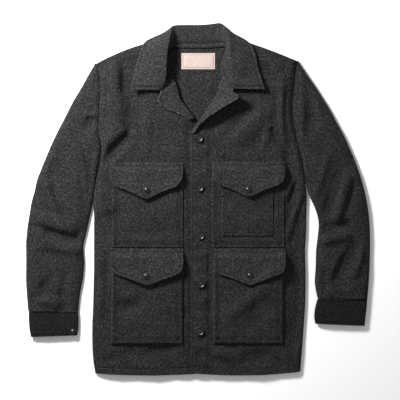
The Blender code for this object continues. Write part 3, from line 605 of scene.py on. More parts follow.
def topHeight(points, side, part):
    flat = np.asarray(points, float).reshape(-1, 2)
    share, nearest = rollShare(flat, side)
    fade = np.clip(nearest / cloth["foldFade"], 0, 1)
    if part == "sleeve":
        loft = np.full(len(flat), cloth["sleeveLoft"])
        folds = foldHeight(flat, sleeveFolds) + creaseHeight(flat, sleeveCreases) + unevenness(flat, 5)
    else:
        rise = smoothStep(flat[:, 1], *cloth["hemRise"])
        loft = cloth["hemLoft"] + (cloth["bodyLoft"] - cloth["hemLoft"]) * rise
        folds = foldHeight(flat, bodyFolds) + creaseHeight(flat, bodyCreases) + unevenness(flat, 3)
    limit = np.where(folds > 0, cloth["foldLimit"][0], cloth["foldLimit"][1])
    folds = limit * np.tanh(cloth["foldRise"] * folds / limit)
    height = cloth["seamHeight"] + (loft - cloth["seamHeight"]) * share + folds * fade
    return height.reshape(np.shape(points)[:-1])


def buttonPull(plan):
    dip = np.zeros(plan.shape[:-1])
    for x, y in cloth["buttonPlaces"]:
        dip += np.exp(-((plan[..., 0] - x) / 12) ** 2 - ((plan[..., 1] - y) / 8) ** 2)
    return cloth["buttonPull"] * dip


def neckDrop(plan, side):
    # the neck edge lies low under the collar, so that the stand can rise steeply from it
    rows = np.array(frontCut[side], float)[:7]
    edgeX = np.interp(plan[..., 1], rows[::-1, 3], rows[::-1, 2])
    away = (edgeX - plan[..., 0]) * sideSign[side]
    return cloth["neckDrop"] * smoothStep(plan[..., 1], 262, 292) * (1 - smoothStep(away, 8, 36))


def frontHeight(plan, side):
    height = topHeight(plan, side, "front")
    low = np.maximum(height - neckDrop(plan, side), cloth["neckFloor"])
    height = np.minimum(height, low)
    if side == "right":
        tuck = foldHeight(plan.reshape(-1, 2), lapelTuck).reshape(plan.shape[:-1])
        return height - cloth["overlapDrop"] * smoothStep(plan[..., 0], *cloth["overlapX"]) + tuck
    lift = cloth["overlapLift"] * (1 - smoothStep(plan[..., 0], *cloth["overlapEndX"]))
    return height + lift - buttonPull(plan)


frontLook = {
    "side": (0, 0.5, 1.2, 2.2, 3.4, 4.4, 5.2, 6.0, 7.0, 8.6, 11, 14, 17.5, 21),
    "edge": (0, 0.4, 0.9, 1.6, 2.4, 3.1, 3.7, 4.3, 5.2, 7, 10, 13.5, 17, 21, 25, 29, 33, 36, 37.3, 38.1,
             38.9, 39.7, 41.5, 44),
    "armholeStitch": 5.2, "placketStitch": 3.7, "facingStitch": 38.5, "hemStitch": 15.0, "shoulderSeam": 7.0,
    "edgeRadius": 1.5, "armholeFrom": (55, 75), "placketFrom": (-150, -140), "lapelFree": (-230, -120),
    "armholePaintedShade": {"right": 0.25, "left": 1.0}, "armholeShade": (1.2, 3, 4.5), "shadeFrom": (135, 190),
    "flat": {"right": (0.29, 0.82), "left": (0.29, 0.82)}, "area": {"right": 0.187, "left": 0.190},
}


def frontRelief(plan, side, fromSide, fromEdge):
    # seams at armhole, hem and shoulder, turned edges, and the placket's two lines on the left
    y = plan[..., 1]
    relief = seamRelief(fromSide, y, frontLook["armholeStitch"], 1.3)
    relief *= smoothStep(y, *frontLook["armholeFrom"])
    hemAway = y - plan[-1:, :, 1]
    relief += seamRelief(hemAway, plan[..., 0], frontLook["hemStitch"], 2.2)
    relief -= edgeDrop(hemAway, frontLook["edgeRadius"])
    topAway = plan[:1, :, 1] - y
    relief += seamRelief(topAway, plan[..., 0], frontLook["shoulderSeam"], 0.4, depth=1.0, pucker=0.15)
    relief -= edgeDrop(fromEdge, frontLook["edgeRadius"]) * smoothStep(-y, *frontLook["lapelFree"])
    if side == "left":
        placket = smoothStep(-y, *frontLook["placketFrom"])
        relief += placket * seamRelief(fromEdge, y, frontLook["placketStitch"], 0.9)
        relief += placket * seamRelief(fromEdge, y, frontLook["facingStitch"], 3.1, depth=0.9)
    return relief


def frontPaintedShading(plan, side, fromSide, fromEdge):
    # painted highlight along the turned edges, painted shade along the seams and in the armhole
    y = plan[..., 1]
    fromHem = y - plan[-1:, :, 1]
    paintedShading = seamPaintedShade(fromHem, frontLook["hemStitch"]) + 0.8 * edgePaintedLight(fromHem)
    armholeShading = frontLook["armholePaintedShade"][side] * seamPaintedShade(fromSide, frontLook["armholeStitch"])
    paintedShading += armholeShading * smoothStep(y, *frontLook["armholeFrom"])
    paintedShading += 0.35 * seamPaintedShade(plan[:1, :, 1] - y, frontLook["shoulderSeam"])
    if side == "left":
        # the armhole lies in its own shade here
        depth, middle, width = frontLook["armholeShade"]
        paintedShading -= depth * np.exp(-((fromSide - middle) / width) ** 2) * smoothStep(y, *frontLook["shadeFrom"])
        placket = smoothStep(-y, *frontLook["placketFrom"])
        paintedShading += placket * (seamPaintedShade(fromEdge, frontLook["placketStitch"]) + 0.8 * edgePaintedLight(fromEdge, 1.6)
                          + 0.8 * seamPaintedShade(fromEdge, frontLook["facingStitch"])
                          + 0.6 * seamPaintedShade(fromEdge, frontLook["facingStitch"] + 3.6))
    return paintedShading


for side in ("right", "left"):
    steps = fineSteps(lastRow, 7)
    plan, fromSide, fromEdge = cutPlan(frontCut[side], steps, frontLook["side"], frontLook["edge"])
    height = frontHeight(plan, side) + frontRelief(plan, side, fromSide, fromEdge)
    points = withHeight(plan, height, frontPaintedShading(plan, side, fromSide, fromEdge))
    points[:, 0, 0] += cloth["seamGap"] / 2 * sideSign[side]
    order = facingUp(points, side)
    piece = clothGrid("front_" + side + "_cloth", order, turnedUv(order, 2 * sideSign[side], 500),
                      cloth["wall"], wool)
    wear(piece, "wool", "front_" + side)
    hemRow = int(np.argmin(np.abs(plan[:, 40, 1] - plan[-1, 40, 1] - frontLook["hemStitch"])))
    addStitches(piece, [(x, y) for x, y in plan[hemRow][2:-2]])
    armhole = int(np.argmin(np.abs(np.array(frontLook["side"]) - frontLook["armholeStitch"])))
    addStitches(piece, [p for p in plan[8:, armhole] if 68 < p[1]])
    if side == "left":
        for at in ("placketStitch", "facingStitch"):
            column = plan.shape[1] - 1 - int(np.argmin(np.abs(np.array(frontLook["edge"]) - frontLook[at])))
            addStitches(piece, [p for p in plan[:, column] if p[1] < 140])
print("fronts made")


backLook = {"wall": 2.4, "rim": 1.2, "turnedIn": 0.25, "easeDown": 190, "creaseLimit": (-0.1, 2.4),
            "flat": (0.52, 0.80), "area": 0.372}
backCreases = (
    (-180, -120, -120, -60, -150, 20, 14, 0.7), (90, -200, 150, -120, 120, -30, 15, 0.7),
    (-60, 60, -20, 140, -50, 230, 16, 0.6), (120, 80, 90, 160, 130, 240, 12, 0.6),
    (-190, -300, -110, -280, -40, -320, 13, 0.6), (30, -330, 110, -300, 190, -330, 12, 0.6),
    (-30, 292, -32, 268, -14, 232, 8, 2.3), (33, 292, 34, 268, 20, 238, 8, 2.3),
)


def backPoints():
    # one sheet from hem to neck: each row runs from the right side seam to the left one
    steps = fineSteps(lastRow, 5)
    right = through(frontCut["right"], steps)[:, :2]
    left = through(frontCut["left"], steps)[:, :2]
    neck = through(backCut["neck"], np.linspace(0, 6, 61))
    right[:, 0] += backLook["turnedIn"]
    left[:, 0] -= backLook["turnedIn"]
    near = np.array([0, 0.001, 0.0025, 0.005, 0.009, 0.015, 0.025])
    columns = np.unique(np.concatenate([near, np.linspace(0.03, 0.97, 110), 1 - near]))[None, :, None]
    points = right[:, None, :] + (left - right)[:, None, :] * columns
    # the top row follows shoulder, neck and shoulder, and the rows below ease to the straight
    x = points[0, :, 0]
    shoulderR, shoulderL = frontCut["right"][0], frontCut["left"][0]
    topY = np.where(x < -71, np.interp(x, (-241, -71), (317, 376)), np.interp(x, (78, 233), (380, 324)))
    for row, sign in ((shoulderR, 1), (shoulderL, -1)):
        t = np.clip((x - row[0]) / (row[2] - row[0]), 0, 1)
        topY = topY + np.where((t > 0) & (t < 1), row[4] * 4 * t * (1 - t), 0)
    inNeck = (x >= -71) & (x <= 78)
    topY = np.where(inNeck, np.interp(x, neck[:, 0], neck[:, 1]), topY)
    rise = topY - points[0, :, 1]
    reach = 1 - smoothStep(points[:1, :, 1] - points[..., 1], 0, backLook["easeDown"])
    points[..., 1] += rise[None, :] * reach
    return points


backPlan = backPoints()
x, y = backPlan[..., 0], backPlan[..., 1]
edgeAway = np.minimum(np.minimum(x - x[:, :1], x[:, -1:] - x), np.minimum(y[:1] - y, y - y[-1:]))
backTop = cloth["wall"] - edgeDrop(edgeAway, backLook["rim"]) * 0.5
creased = np.clip(creaseHeight(backPlan, backCreases), *backLook["creaseLimit"])
backTop += smoothStep(edgeAway, 4, 22) * creased
backAll = np.concatenate([backPlan, backTop[..., None]], -1)[::-1]
back = clothGrid("back_cloth", backAll, turnedUv(backAll, 1, 900), 0, wool)
applyModifier(back, "SOLIDIFY", "wall", thickness=backLook["wall"] * mm, offset=-1)
wear(back, "wool", "back")
print("back made")


# Sleeves

sleeveLook = {
    "across": (0, 0.004, 0.01, 0.02, 0.034, 0.052, 0.075), "count": 40, "turn": -17, "seam": 2.5,
    "seamShade": {"right": 0.2, "left": 1.6},  # how dark the painted shade in the armhole seam is
    "flat": {"right": (0.17, 0.64), "left": (0.17, 0.62)}, "area": {"right": 0.078, "left": 0.074},
}


def sleevePlan(side, each):
    cut = sleeveCut[side]
    steps = np.concatenate([[0, 0.02, 0.06, 0.13, 0.25, 0.45, 0.7],
                            np.linspace(1, lastOuter - 0.4, int((lastOuter - 1.4) * each)),
                            lastOuter - np.array([0.25, 0.14, 0.07, 0.03, 0])])
    outer = through(cut["outer"], steps)
    inner = through(cut["innerLine"], steps * (len(cut["innerLine"]) - 1) / lastOuter)
    inner[steps <= cut["shared"] - 1, 0] += cloth["seamGap"] / 2 * -sideSign[side]
    edge = np.array(sleeveLook["across"])
    even = np.linspace(edge[-1], 1 - edge[-1], sleeveLook["count"])[1:-1]
    share = np.concatenate([edge, even, 1 - edge[::-1]])
    return outer[:, None, :] + (inner - outer)[:, None, :] * share[None, :, None], steps


for side in ("right", "left"):
    plan, steps = sleevePlan(side, 8)
    height = topHeight(plan, side, "sleeve")
    fromSeam = np.linalg.norm(plan - plan[:, -1:], axis=2)
    shared = smoothStep(sleeveCut[side]["shared"] - steps, 0, 1)[:, None]
    height += shared * seamRelief(fromSeam, plan[..., 1], sleeveLook["seam"], 2.7, depth=0.2, pucker=0.4)
    fromOuter = np.linalg.norm(plan - plan[:, :1], axis=2)
    # painted highlight along the outer edge, painted shade in the armhole seam
    paintedShading = 0.4 * edgePaintedLight(fromOuter, 4) - sleeveLook["seamShade"][side] * shared * np.exp(-(fromSeam / 3) ** 2)
    points = withHeight(plan, height, paintedShading)
    order = facingUp(points, side)
    turn = sleeveLook["turn"] * sideSign[side]
    top = clothGrid("sleeve_" + side + "_top_cloth", order, turnedUv(order, turn, 1300), cloth["wall"], wool)
    wear(top, "wool", "sleeve_" + side + "_top")
    under = np.concatenate([plan, np.full(plan.shape[:-1] + (1,), cloth["wall"])], -1)
    under = facingUp(under, side)
    lower = clothGrid("sleeve_" + side + "_under_cloth", under, turnedUv(under, turn, 1700),
                      cloth["wall"] - 0.1, wool)
    wear(lower, "wool", "sleeve_" + side + "_under")
print("sleeves made")


# Cuffs

cuffLook = {
    "loft": 13.5, "squareness": 3.4, "bunching": 0.8, "around": 120,
    "right": ((-396, -261.6, -281, -261.6), (-396, -281, -280, -281), (-394.5, -302, -280.5, -302),
              (-391, -322, -283, -318)),
    "left": ((280, -232.6, 396, -232.6), (274.5, -252, 394.5, -253), (272, -274, 392, -275),
             (274.5, -291, 390, -296)),
    "flat": (0.24, 0.06), "groove": 3.8, "paintedSeamShadeAt": 3.5, "overlapX": -293.0, "overlap": 1.1,
    "radius": 1.3, "stitchRows": (0.065, 0.935),
}


def cuffPoints(side):
    # a flattened tube: each row runs once round it
    steps = np.concatenate([[0, 0.02, 0.06, 0.12, 0.17, 0.22, 0.28], np.linspace(0.4, 2.6, 15),
                            [2.68, 2.74, 2.8, 2.86, 2.92, 2.97, 3]])
    rows = through(cuffLook[side], steps)
    power = cuffLook["squareness"]
    angle = np.linspace(0, 2 * math.pi, cuffLook["around"] + 1)[None, :]
    across = np.sign(np.cos(angle)) * np.abs(np.cos(angle)) ** cuffLook["bunching"]
    share = (1 + across) / 2
    x = rows[:, 0:1] + (rows[:, 2:3] - rows[:, 0:1]) * share
    y = rows[:, 1:2] + (rows[:, 3:4] - rows[:, 1:2]) * share
    bulge = (1 - np.abs(across) ** power) ** (1 / power)
    z = cuffLook["loft"] / 2 * (1 + np.sign(np.sin(angle)) * bulge) + 0 * x
    away = np.abs(y[:1] - y)
    length = np.abs(y[:1] - y[-1:])
    isTop = (np.sin(angle) > 0) * np.ones_like(x)
    for distance in (away, length - away):
        z += isTop * bulge * seamRelief(distance, x, cuffLook["groove"], 1.1, depth=0.6)
    drop = edgeDrop(np.minimum(away, length - away), cuffLook["radius"])
    z += np.where(np.sin(angle) > 0, -drop, drop) * bulge
    if side == "right":
        lapped = smoothStep(x, cuffLook["overlapX"], cuffLook["overlapX"] + 1.2)
        z += isTop * cuffLook["overlap"] * lapped * bulge
    z = np.where(isTop > 0, z, np.maximum(z, 0))
    # painted shade along both sewn lines and the top edge, painted highlight along the lower edge
    paintedShading = seamPaintedShade(away, cuffLook["paintedSeamShadeAt"]) + seamPaintedShade(length - away, cuffLook["paintedSeamShadeAt"])
    paintedShading = paintedShading + 0.8 * edgePaintedLight(length - away) - 0.8 * edgePaintedLight(away, 2)
    return np.stack([x, y, z, paintedShading + 0 * z], -1)


for side in ("right", "left"):
    points = cuffPoints(side)
    around = cuffLook["around"]
    piece = clothGrid("cuff_" + side + "_cloth", points[::-1], arcUv(points, 2100)[::-1], 0, woolCuff)
    bpy.ops.object.mode_set(mode="EDIT")
    bpy.ops.mesh.select_all(action="SELECT")
    bpy.ops.mesh.remove_doubles(threshold=0.00002)
    bpy.ops.mesh.normals_make_consistent(inside=False)
    bpy.ops.object.mode_set(mode="OBJECT")
    applyModifier(piece, "SOLIDIFY", "wall", thickness=cloth["wall"] * mm, offset=-1)
    wear(piece, "wool", "cuff_" + side)
    half = points[:, 2:around // 2 - 1]
    for share in cuffLook["stitchRows"]:
        row = int(round(share * (len(points) - 1)))
        addStitches(piece, [(p[0], p[1]) for p in half[row]])
print("cuffs made")


# Collar and lapels

collarLook = {
    # one row for each station round the neck, from the right tip to the left one: x, y, z of the neck seam,
    # of the crest and of the free edge
    "stations": (
        (-84, 254, 17, -89, 254, 22.5, -156, 255, 26), (-73, 272, 15, -78, 271, 26.5, -153.5, 270, 23),
        (-76, 288, 12.5, -74, 288, 30.5, -150, 288, 19.5), (-77, 309, 12, -73, 311, 34, -144, 313, 20),
        (-76, 332, 12, -71, 340, 34, -137, 339, 19.5), (-71, 350, 11, -68, 364, 31, -126, 366, 14),
        (-58, 356, 8, -62, 388, 24, -101, 382, 6), (-38, 355, 5.6, -58, 406, 9.5, -70, 391, 0),
        (-17, 355, 5.5, -28, 409, 5, -28, 369, 0), (5, 354.5, 5.5, 2, 409, 5, 2, 368, 0),
        (28, 355, 5.5, 30, 411, 5, 30, 369, 0), (49, 357, 5.7, 54, 412, 8.5, 63, 391, 0),
        (61, 358, 9, 67, 393, 18.5, 92, 385, 6), (63.5, 350, 8.6, 73, 368, 27, 121, 365, 14),
        (58, 332, 8.8, 74, 342, 30, 133, 342, 20), (52.5, 306, 9.4, 77, 313, 30.5, 139, 313, 21),
        (61, 284, 11.5, 80, 288, 28, 146, 288, 21.5), (68, 271, 14.5, 83, 271, 27.5, 151, 271, 26.5),
        (81, 257, 17, 87, 257, 25.5, 155, 255, 31),
    ),
    "roll": 12.0, "pullLimit": 1.1, "wall": 2.5, "stitch": 8.5, "edgeRadius": 1.6, "stepWidth": 16,
    "tipReach": 40, "leafFrom": (3, 9), "neckSeam": 0.2, "neckGroove": 0.9,  # the seam's share of the stand
    "flat": (0.52, 0.12), "area": 0.049,
}
lapelLook = {
    # rows from the notch to the closing point: roll x, y, edge x, y, z, reach back inside
    "right": ((-62, 290, -90, 270, 17, 9), (-52, 268, -86, 250, 19, 9), (-48, 252, -90, 240, 20, 9),
              (-42, 234, -92, 229, 20.5, 9), (-30, 216, -70, 211, 19.5, 8), (-17, 199, -34, 196, 18.5, 7),
              (-10, 189.5, -19, 186.5, 17.5, 4)),
    "left": ((61, 290, 84, 270, 17, 9), (51, 266, 80, 249, 30, 9), (47, 250, 88, 243, 37, 9),
             (39, 236, 93, 235, 40, 9), (26, 216, 62, 216, 38.5, 8), (9, 191, 26, 193, 33, 6),
             (-6, 170, 4, 174, 25, 2.4), (-14.5, 153.5, -9.5, 155, 18.2, 2.2)),
    "roll": 9.0, "probe": 5.0, "wall": 2.0, "stitch": 6.0, "edgeRadius": 1.3, "stepWidth": 16,
    "wide": (8, 22),
    "flat": {"right": (0.11, 0.07), "left": (0.15, 0.08)}, "area": {"right": 0.0045, "left": 0.0056},
}


collarCreases = (
    (38, 404, 43, 390, 40, 376, 6, -1.9), (30, 404, 33, 392, 29, 378, 6, 1),
    (-32, 402, -28, 388, -30, 372, 9, 0.9), (-8, 404, -4, 390, -7, 374, 8, -0.7),
    (-118, 352, -126, 318, -120, 282, 10, 1), (96, 340, 104, 312, 98, 280, 10, 1),
    (122, 350, 118, 320, 128, 290, 8, -0.8),
)


def foldedSection(inner, crest, edge, roll, standSteps, fallSteps):
    # one section through a turned collar or lapel: up from the seam, round the crest, down to the edge
    toEdge, toInner = edge - crest, inner - crest
    edgeLength, innerLength = np.linalg.norm(toEdge), np.linalg.norm(toInner)
    turn = toEdge / edgeLength - toInner / innerLength
    turn /= max(np.linalg.norm(turn), 1e-6)
    pullIn = min(roll, collarLook["pullLimit"] * innerLength)
    pullOut = min(roll, collarLook["pullLimit"] * edgeLength)
    return np.concatenate([hermite(inner, crest, -toInner, turn * pullIn, standSteps[:, None]),
                           hermite(crest, edge, turn * pullOut, toEdge, fallSteps[:, None])])


def leafMask(standSteps, fallSteps):
    return np.concatenate([np.zeros(len(standSteps)), np.ones(len(fallSteps))])[None, :]


def leafSteps(length, count, marks):
    # shares of the way to the free edge, with close ones near it and at a stitch line
    near = [length - d for d in (0, 0.4, 1.0, 1.8, 3.0)]
    near += [length - m + d for m in marks for d in (-1.4, -0.6, 0, 0.6, 1.4)]
    even = [length * k / count for k in range(count - 2)]
    return np.clip(np.unique(np.round(np.array(near + even), 3)) / length, 0, 1)


standSteps = np.linspace(0, 0.96, 16)
fallSteps = leafSteps(62, 22, (collarLook["stitch"],))
lastStation = len(collarLook["stations"]) - 1
nearTip = np.array([0, 0.03, 0.07, 0.13, 0.22, 0.34, 0.46, 0.5, 0.54, 0.58, 0.62, 0.7, 0.85])
stationSteps = np.concatenate([nearTip, np.linspace(1, lastStation - 1, (lastStation - 2) * 7 + 1),
                               lastStation - nearTip[::-1]])
collarRows = through(collarLook["stations"], stationSteps)
collarPoints = np.array([foldedSection(row[0:3], row[3:6], row[6:9], collarLook["roll"], standSteps,
                                       fallSteps) for row in collarRows])
leafAway = np.linalg.norm(collarPoints - collarPoints[:, -1:], axis=2)
tipAway = np.minimum(stationSteps, lastStation - stationSteps)[:, None] * collarLook["stepWidth"]
standShare = np.concatenate([standSteps, np.ones(len(fallSteps))])[None, :]
onLeaf = leafMask(standSteps, fallSteps)
along = runLength(collarPoints[:, -1])[:, None]
leafFree = smoothStep(collarPoints[..., 2], *collarLook["leafFrom"])
relief = onLeaf * (seamRelief(leafAway, along, collarLook["stitch"], 0.5)
                   - edgeDrop(leafAway, collarLook["edgeRadius"])
                   - edgeDrop(tipAway, collarLook["edgeRadius"])
                   + np.exp(-(tipAway / collarLook["tipReach"]) ** 2)
                   * seamRelief(tipAway, leafAway, collarLook["stitch"], 1.5))
collarPoints[..., 2] += relief * leafFree + onLeaf * leafFree * lumps(collarPoints[..., :2], 11, 60, 0.6)
collarPoints[..., 2] += creaseHeight(collarPoints[..., :2], collarCreases)
fromNeckSeam = standShare - collarLook["neckSeam"]
collarPoints[..., 2] -= collarLook["neckGroove"] * np.exp(-(fromNeckSeam / 0.05) ** 2)
collarPoints[..., 2] = np.maximum(collarPoints[..., 2], 0)
# painted highlight along the leaf's edge and tip, painted shade along its stitching, at the neck seam and at the
# foot of the stand, and a lighter band low on the stand
collarPaintedShading = onLeaf * (0.9 * edgePaintedLight(leafAway) + seamPaintedShade(leafAway, collarLook["stitch"])
                      + 0.9 * edgePaintedLight(tipAway) + seamPaintedShade(tipAway, collarLook["stitch"]))
neckSeam = np.exp(-(fromNeckSeam / 0.045) ** 2)
collarPaintedShading = collarPaintedShading - 1.3 * neckSeam - np.exp(-(standShare / 0.04) ** 2)
collarPaintedShading = collarPaintedShading + 0.5 * np.exp(-((standShare - 0.11) / 0.05) ** 2)
collarOrder = np.concatenate([collarPoints, collarPaintedShading[..., None]], -1)[::-1]
collar = clothGrid("collar_cloth", collarOrder, arcUv(collarOrder, 2600), collarLook["wall"], woolPaintedLight)
wear(collar, "wool_light", "collar")
column = len(standSteps) + int(np.argmin(np.abs(leafAway[20, len(standSteps):] - collarLook["stitch"])))
for part in (slice(4, 42), slice(-42, -4)):
    addStitches(collar, [(p[0], p[1]) for p in collarPoints[part, column]])
print("collar made")

for side in ("right", "left"):
    rows = np.array(lapelLook[side], float)
    count = len(rows) - 1
    steps = np.concatenate([[0, 0.03, 0.07, 0.13, 0.22, 0.34, 0.5, 0.7], np.linspace(0.85, count, count * 7)])
    stand = np.linspace(0, 0.94, 9)
    leaf = leafSteps(45, 16, (lapelLook["stitch"],))
    sections = []
    for rollX, rollY, edgeX, edgeY, edgeZ, reach in through(rows, steps):
        outward = np.array([edgeX - rollX, edgeY - rollY])
        outward /= np.linalg.norm(outward)
        probe = np.array([[rollX, rollY]]) + outward * lapelLook["probe"]
        top = float(frontHeight(probe, side)[0])
        low = max(top - cloth["wall"] - cloth["gap"] - lapelLook["wall"], cloth["wall"] + cloth["gap"])
        crest = np.array([rollX, rollY, top - cloth["wall"] / 2])
        inner = np.array([rollX + outward[0] * reach, rollY + outward[1] * reach, low])
        edge = np.array([edgeX, edgeY, edgeZ])
        sections.append(foldedSection(inner, crest, edge, lapelLook["roll"], stand, leaf))
    points = np.array(sections)
    away = np.linalg.norm(points - points[:, -1:], axis=2)
    notch = (np.abs(steps - 1) * lapelLook["stepWidth"] + 8 * (steps < 1))[:, None]
    onLeaf = leafMask(stand, leaf)
    along = runLength(points[:, -1])[:, None]
    wide = smoothStep(np.linalg.norm(points[:, -1:] - points[:, len(stand):len(stand) + 1], axis=2),
                      *lapelLook["wide"])
    points[..., 2] += onLeaf * (wide * seamRelief(away, along, lapelLook["stitch"], 0.8, pucker=0.3)
                                - edgeDrop(away, lapelLook["edgeRadius"])
                                - edgeDrop(notch, lapelLook["edgeRadius"]))
    points[..., 2] = np.maximum(points[..., 2], cloth["wall"] + cloth["gap"])
    # painted highlight along the lapel's edge and notch, painted shade along its stitching
    paintedShading = onLeaf * (0.9 * edgePaintedLight(away) + wide * seamPaintedShade(away, lapelLook["stitch"]) + 0.8 * edgePaintedLight(notch))
    points = np.concatenate([points, paintedShading[..., None]], -1)
    order = points[::-1] if side == "right" else points
    piece = clothGrid("lapel_" + side + "_cloth", order, arcUv(order, 3000), lapelLook["wall"], woolPaintedLight)
    wear(piece, "wool_light", "lapel_" + side)
print("lapels made")


# Pockets and flaps

pocketLook = {
    # left x at top and bottom, right x at top and bottom, top and bottom y, foot and lift over the front
    "chest_right": {"left": (-199.5, -201), "right": (-35, -35), "y": (64, -112), "foot": 2.2, "lift": 3.4},
    "chest_left": {"left": (33.2, 33.2), "right": (200.5, 201), "y": (64, -112), "foot": 2.2, "lift": 3.4},
    "chest_small": {"left": (56, 56), "right": (175.5, 175), "y": (64, -85), "foot": 5.4, "lift": 6.6},
    "lower_right": {"left": (-201, -203), "right": (-35, -35.5), "y": (-135, -337), "foot": 1.5, "lift": 7.6},
    "lower_left": {"left": (36, 36), "right": (200, 198), "y": (-135, -336), "foot": 1.5, "lift": 7.6},
    "stitches": {"chest": (5.5, 10.5), "lower": (8.5, 13.0)}, "edgeRadius": 1.7, "roll": 4.5, "spacing": 3.2,
    "hand": {"y": -243, "length": 38, "rise": 3.2, "reach": 9.0},
    "flat": {"chest": (0.17, 0.18), "small": (0.12, 0.15), "lower": (0.18, 0.21)},
}
pocketCreases = (
    (-179, -1, -136, -44, -71, -34, 10, 1.2), (-193, -63, -146, -91, -66, -72, 9, -1.2),
    (56, -1, 99, -39, 169, -25, 10, 0.9), (-190, -241, -167, -262, -134, -253, 14, -6),
    (-188, -218, -160, -229, -132, -218, 11, 1.6), (-193, -288, -136, -279, -61, -307, 11, 1.2),
    (-136, -213, -99, -236, -57, -208, 12, 1.8), (164, -199, 122, -236, 66, -269, 14, 1.6),
    (183, -251, 150, -279, 99, -307, 11, -1.5), (66, -283, 113, -298, 169, -316, 10, 1),
    (56, -218, 80, -204, 103, -213, 9, -1.2), (-118, -34, -89, -67, -52, -63, 9, 0.9),
)


def closeSteps(length, marks, spacing):
    # distances from one edge to the other, close together at both ends and at the sewn lines
    near = [0, 0.3, 0.8, 1.5, 2.4, 3.4, 4.5]
    for mark in marks:
        near += [mark - 1.7, mark - 0.9, mark, mark + 0.9, mark + 1.7]
    near = sorted(set(near))
    even = np.linspace(near[-1], length - near[-1], max(3, int((length - 2 * near[-1]) / spacing)))[1:-1]
    return np.concatenate([near, even, length - np.array(near[::-1])])


def pocketGrid(name, look):
    # a patch set on the front, pressed down and sewn at its sides and bottom
    kind, side = name.split("_")[0], "right" if name.endswith("right") else "left"
    marks = pocketLook["stitches"][kind]
    top, bottom = look["y"]
    width = look["right"][0] - look["left"][0]
    across = closeSteps(width, marks, pocketLook["spacing"]) / width
    down = closeSteps(top - bottom, marks, pocketLook["spacing"]) / (top - bottom)
    t, s = down[:, None], across[None, :]
    leftX = look["left"][0] + (look["left"][1] - look["left"][0]) * t
    rightX = look["right"][0] + (look["right"][1] - look["right"][0]) * t
    plan = np.stack([leftX + (rightX - leftX) * s, top + (bottom - top) * t + 0 * s], -1)
    away = {"left": plan[..., 0] - leftX, "right": rightX - plan[..., 0], "bottom": plan[..., 1] - bottom}
    nearest = np.minimum(np.minimum(away["left"], away["right"]), away["bottom"])
    if look["lift"] > look["foot"]:
        roll = np.clip(nearest / pocketLook["roll"], 0, 1)
        lift = look["foot"] + (look["lift"] - look["foot"]) * np.sqrt(1 - (1 - roll) ** 2)
    else:
        lift = look["lift"] - edgeDrop(nearest, pocketLook["edgeRadius"])
    height = frontHeight(plan, side) + lift
    inner = smoothStep(nearest, 2, 16)
    height += inner * (creaseHeight(plan, pocketCreases) + lumps(plan, 21, 60, 0.35))
    marksHere = marks if name != "chest_small" else marks[:1]
    # painted highlight along the pocket's edges, painted shade along its stitching
    paintedShading = 0.9 * edgePaintedLight(nearest, 2.2)
    for edge, distance in away.items():
        along = plan[..., 0] if edge == "bottom" else plan[..., 1]
        inside = smoothStep(np.minimum.reduce([away[k] for k in away if k != edge]), marks[0] - 1.5, marks[0])
        for k, mark in enumerate(marksHere):
            height += inside * seamRelief(distance, along, mark, 1.0 + k + len(edge), depth=0.95,
                                          pucker=0.35 / (1 + k))
            paintedShading += inside * seamPaintedShade(distance, mark)
    if name == "lower_right":
        hand = pocketLook["hand"]
        mouth = np.exp(-((plan[..., 1] - hand["y"]) / hand["length"]) ** 4)
        height += mouth * hand["rise"] * np.exp(-(away["left"] / hand["reach"]) ** 2)
        # painted highlight on the raised edge of the hand opening
        paintedShading += mouth * 0.6 * edgePaintedLight(away["left"], 4)
    return withHeight(plan, height, paintedShading), marksHere, side


for name, look in pocketLook.items():
    if not isinstance(look, dict) or "lift" not in look:
        continue
    points, marks, side = pocketGrid(name, look)
    shift = {"right": -40, "left": 70}[side] + look["y"][0]
    piece = clothGrid("pocket_" + name + "_cloth", points[::-1], turnedUv(points[::-1], 1.5, shift),
                      cloth["pocketWall"], wool)
    wear(piece, "wool", "pocket_" + name)
    top, bottom = look["y"]
    for mark in marks:
        left = [look["left"][k] + mark for k in (0, 1)]
        right = [look["right"][k] - mark for k in (0, 1)]
        addStitches(piece, [(left[0], top - 6), (left[1], bottom + mark), (right[1], bottom + mark),
                            (right[0], top - 6)])
print("pockets made")


def mirrored(*half):
    # an even outline from its left half
    return half + tuple((1 - row[0], *row[1:]) for row in half[-2::-1])


flapLook = {
    # left x, top y, width, depth, height over the front at the top and over the pocket, lower edge
    "chest_right": (-206.5, 86, 172, 85, 3.0, 9.4, 1), "chest_left": (33.5, 88, 170, 82, 3.0, 12.4, 1),
    "lower_right": (-202, -114.5, 168, 85, 3.0, 13.4, 2), "lower_left": (37.5, -114.5, 167, 84, 3.0, 13.4, 2),
    # share across, share of the depth for a chest flap and for a lower flap
    "edge": mirrored((0, 0.30, 0.42), (0.012, 0.44, 0.55), (0.045, 0.57, 0.66), (0.11, 0.68, 0.73),
                     (0.2, 0.745, 0.79), (0.31, 0.83, 0.87), (0.42, 0.945, 0.955), (0.5, 1, 1)),
    "rise": (3.0, 22.0), "topStitch": 8.0, "edgeStitch": 6.0, "radius": 1.6,
    "curl": 4.4, "curlReach": 26, "free": (15, 45),
    "flat": (0.175, 0.085), "area": 0.0112,
}


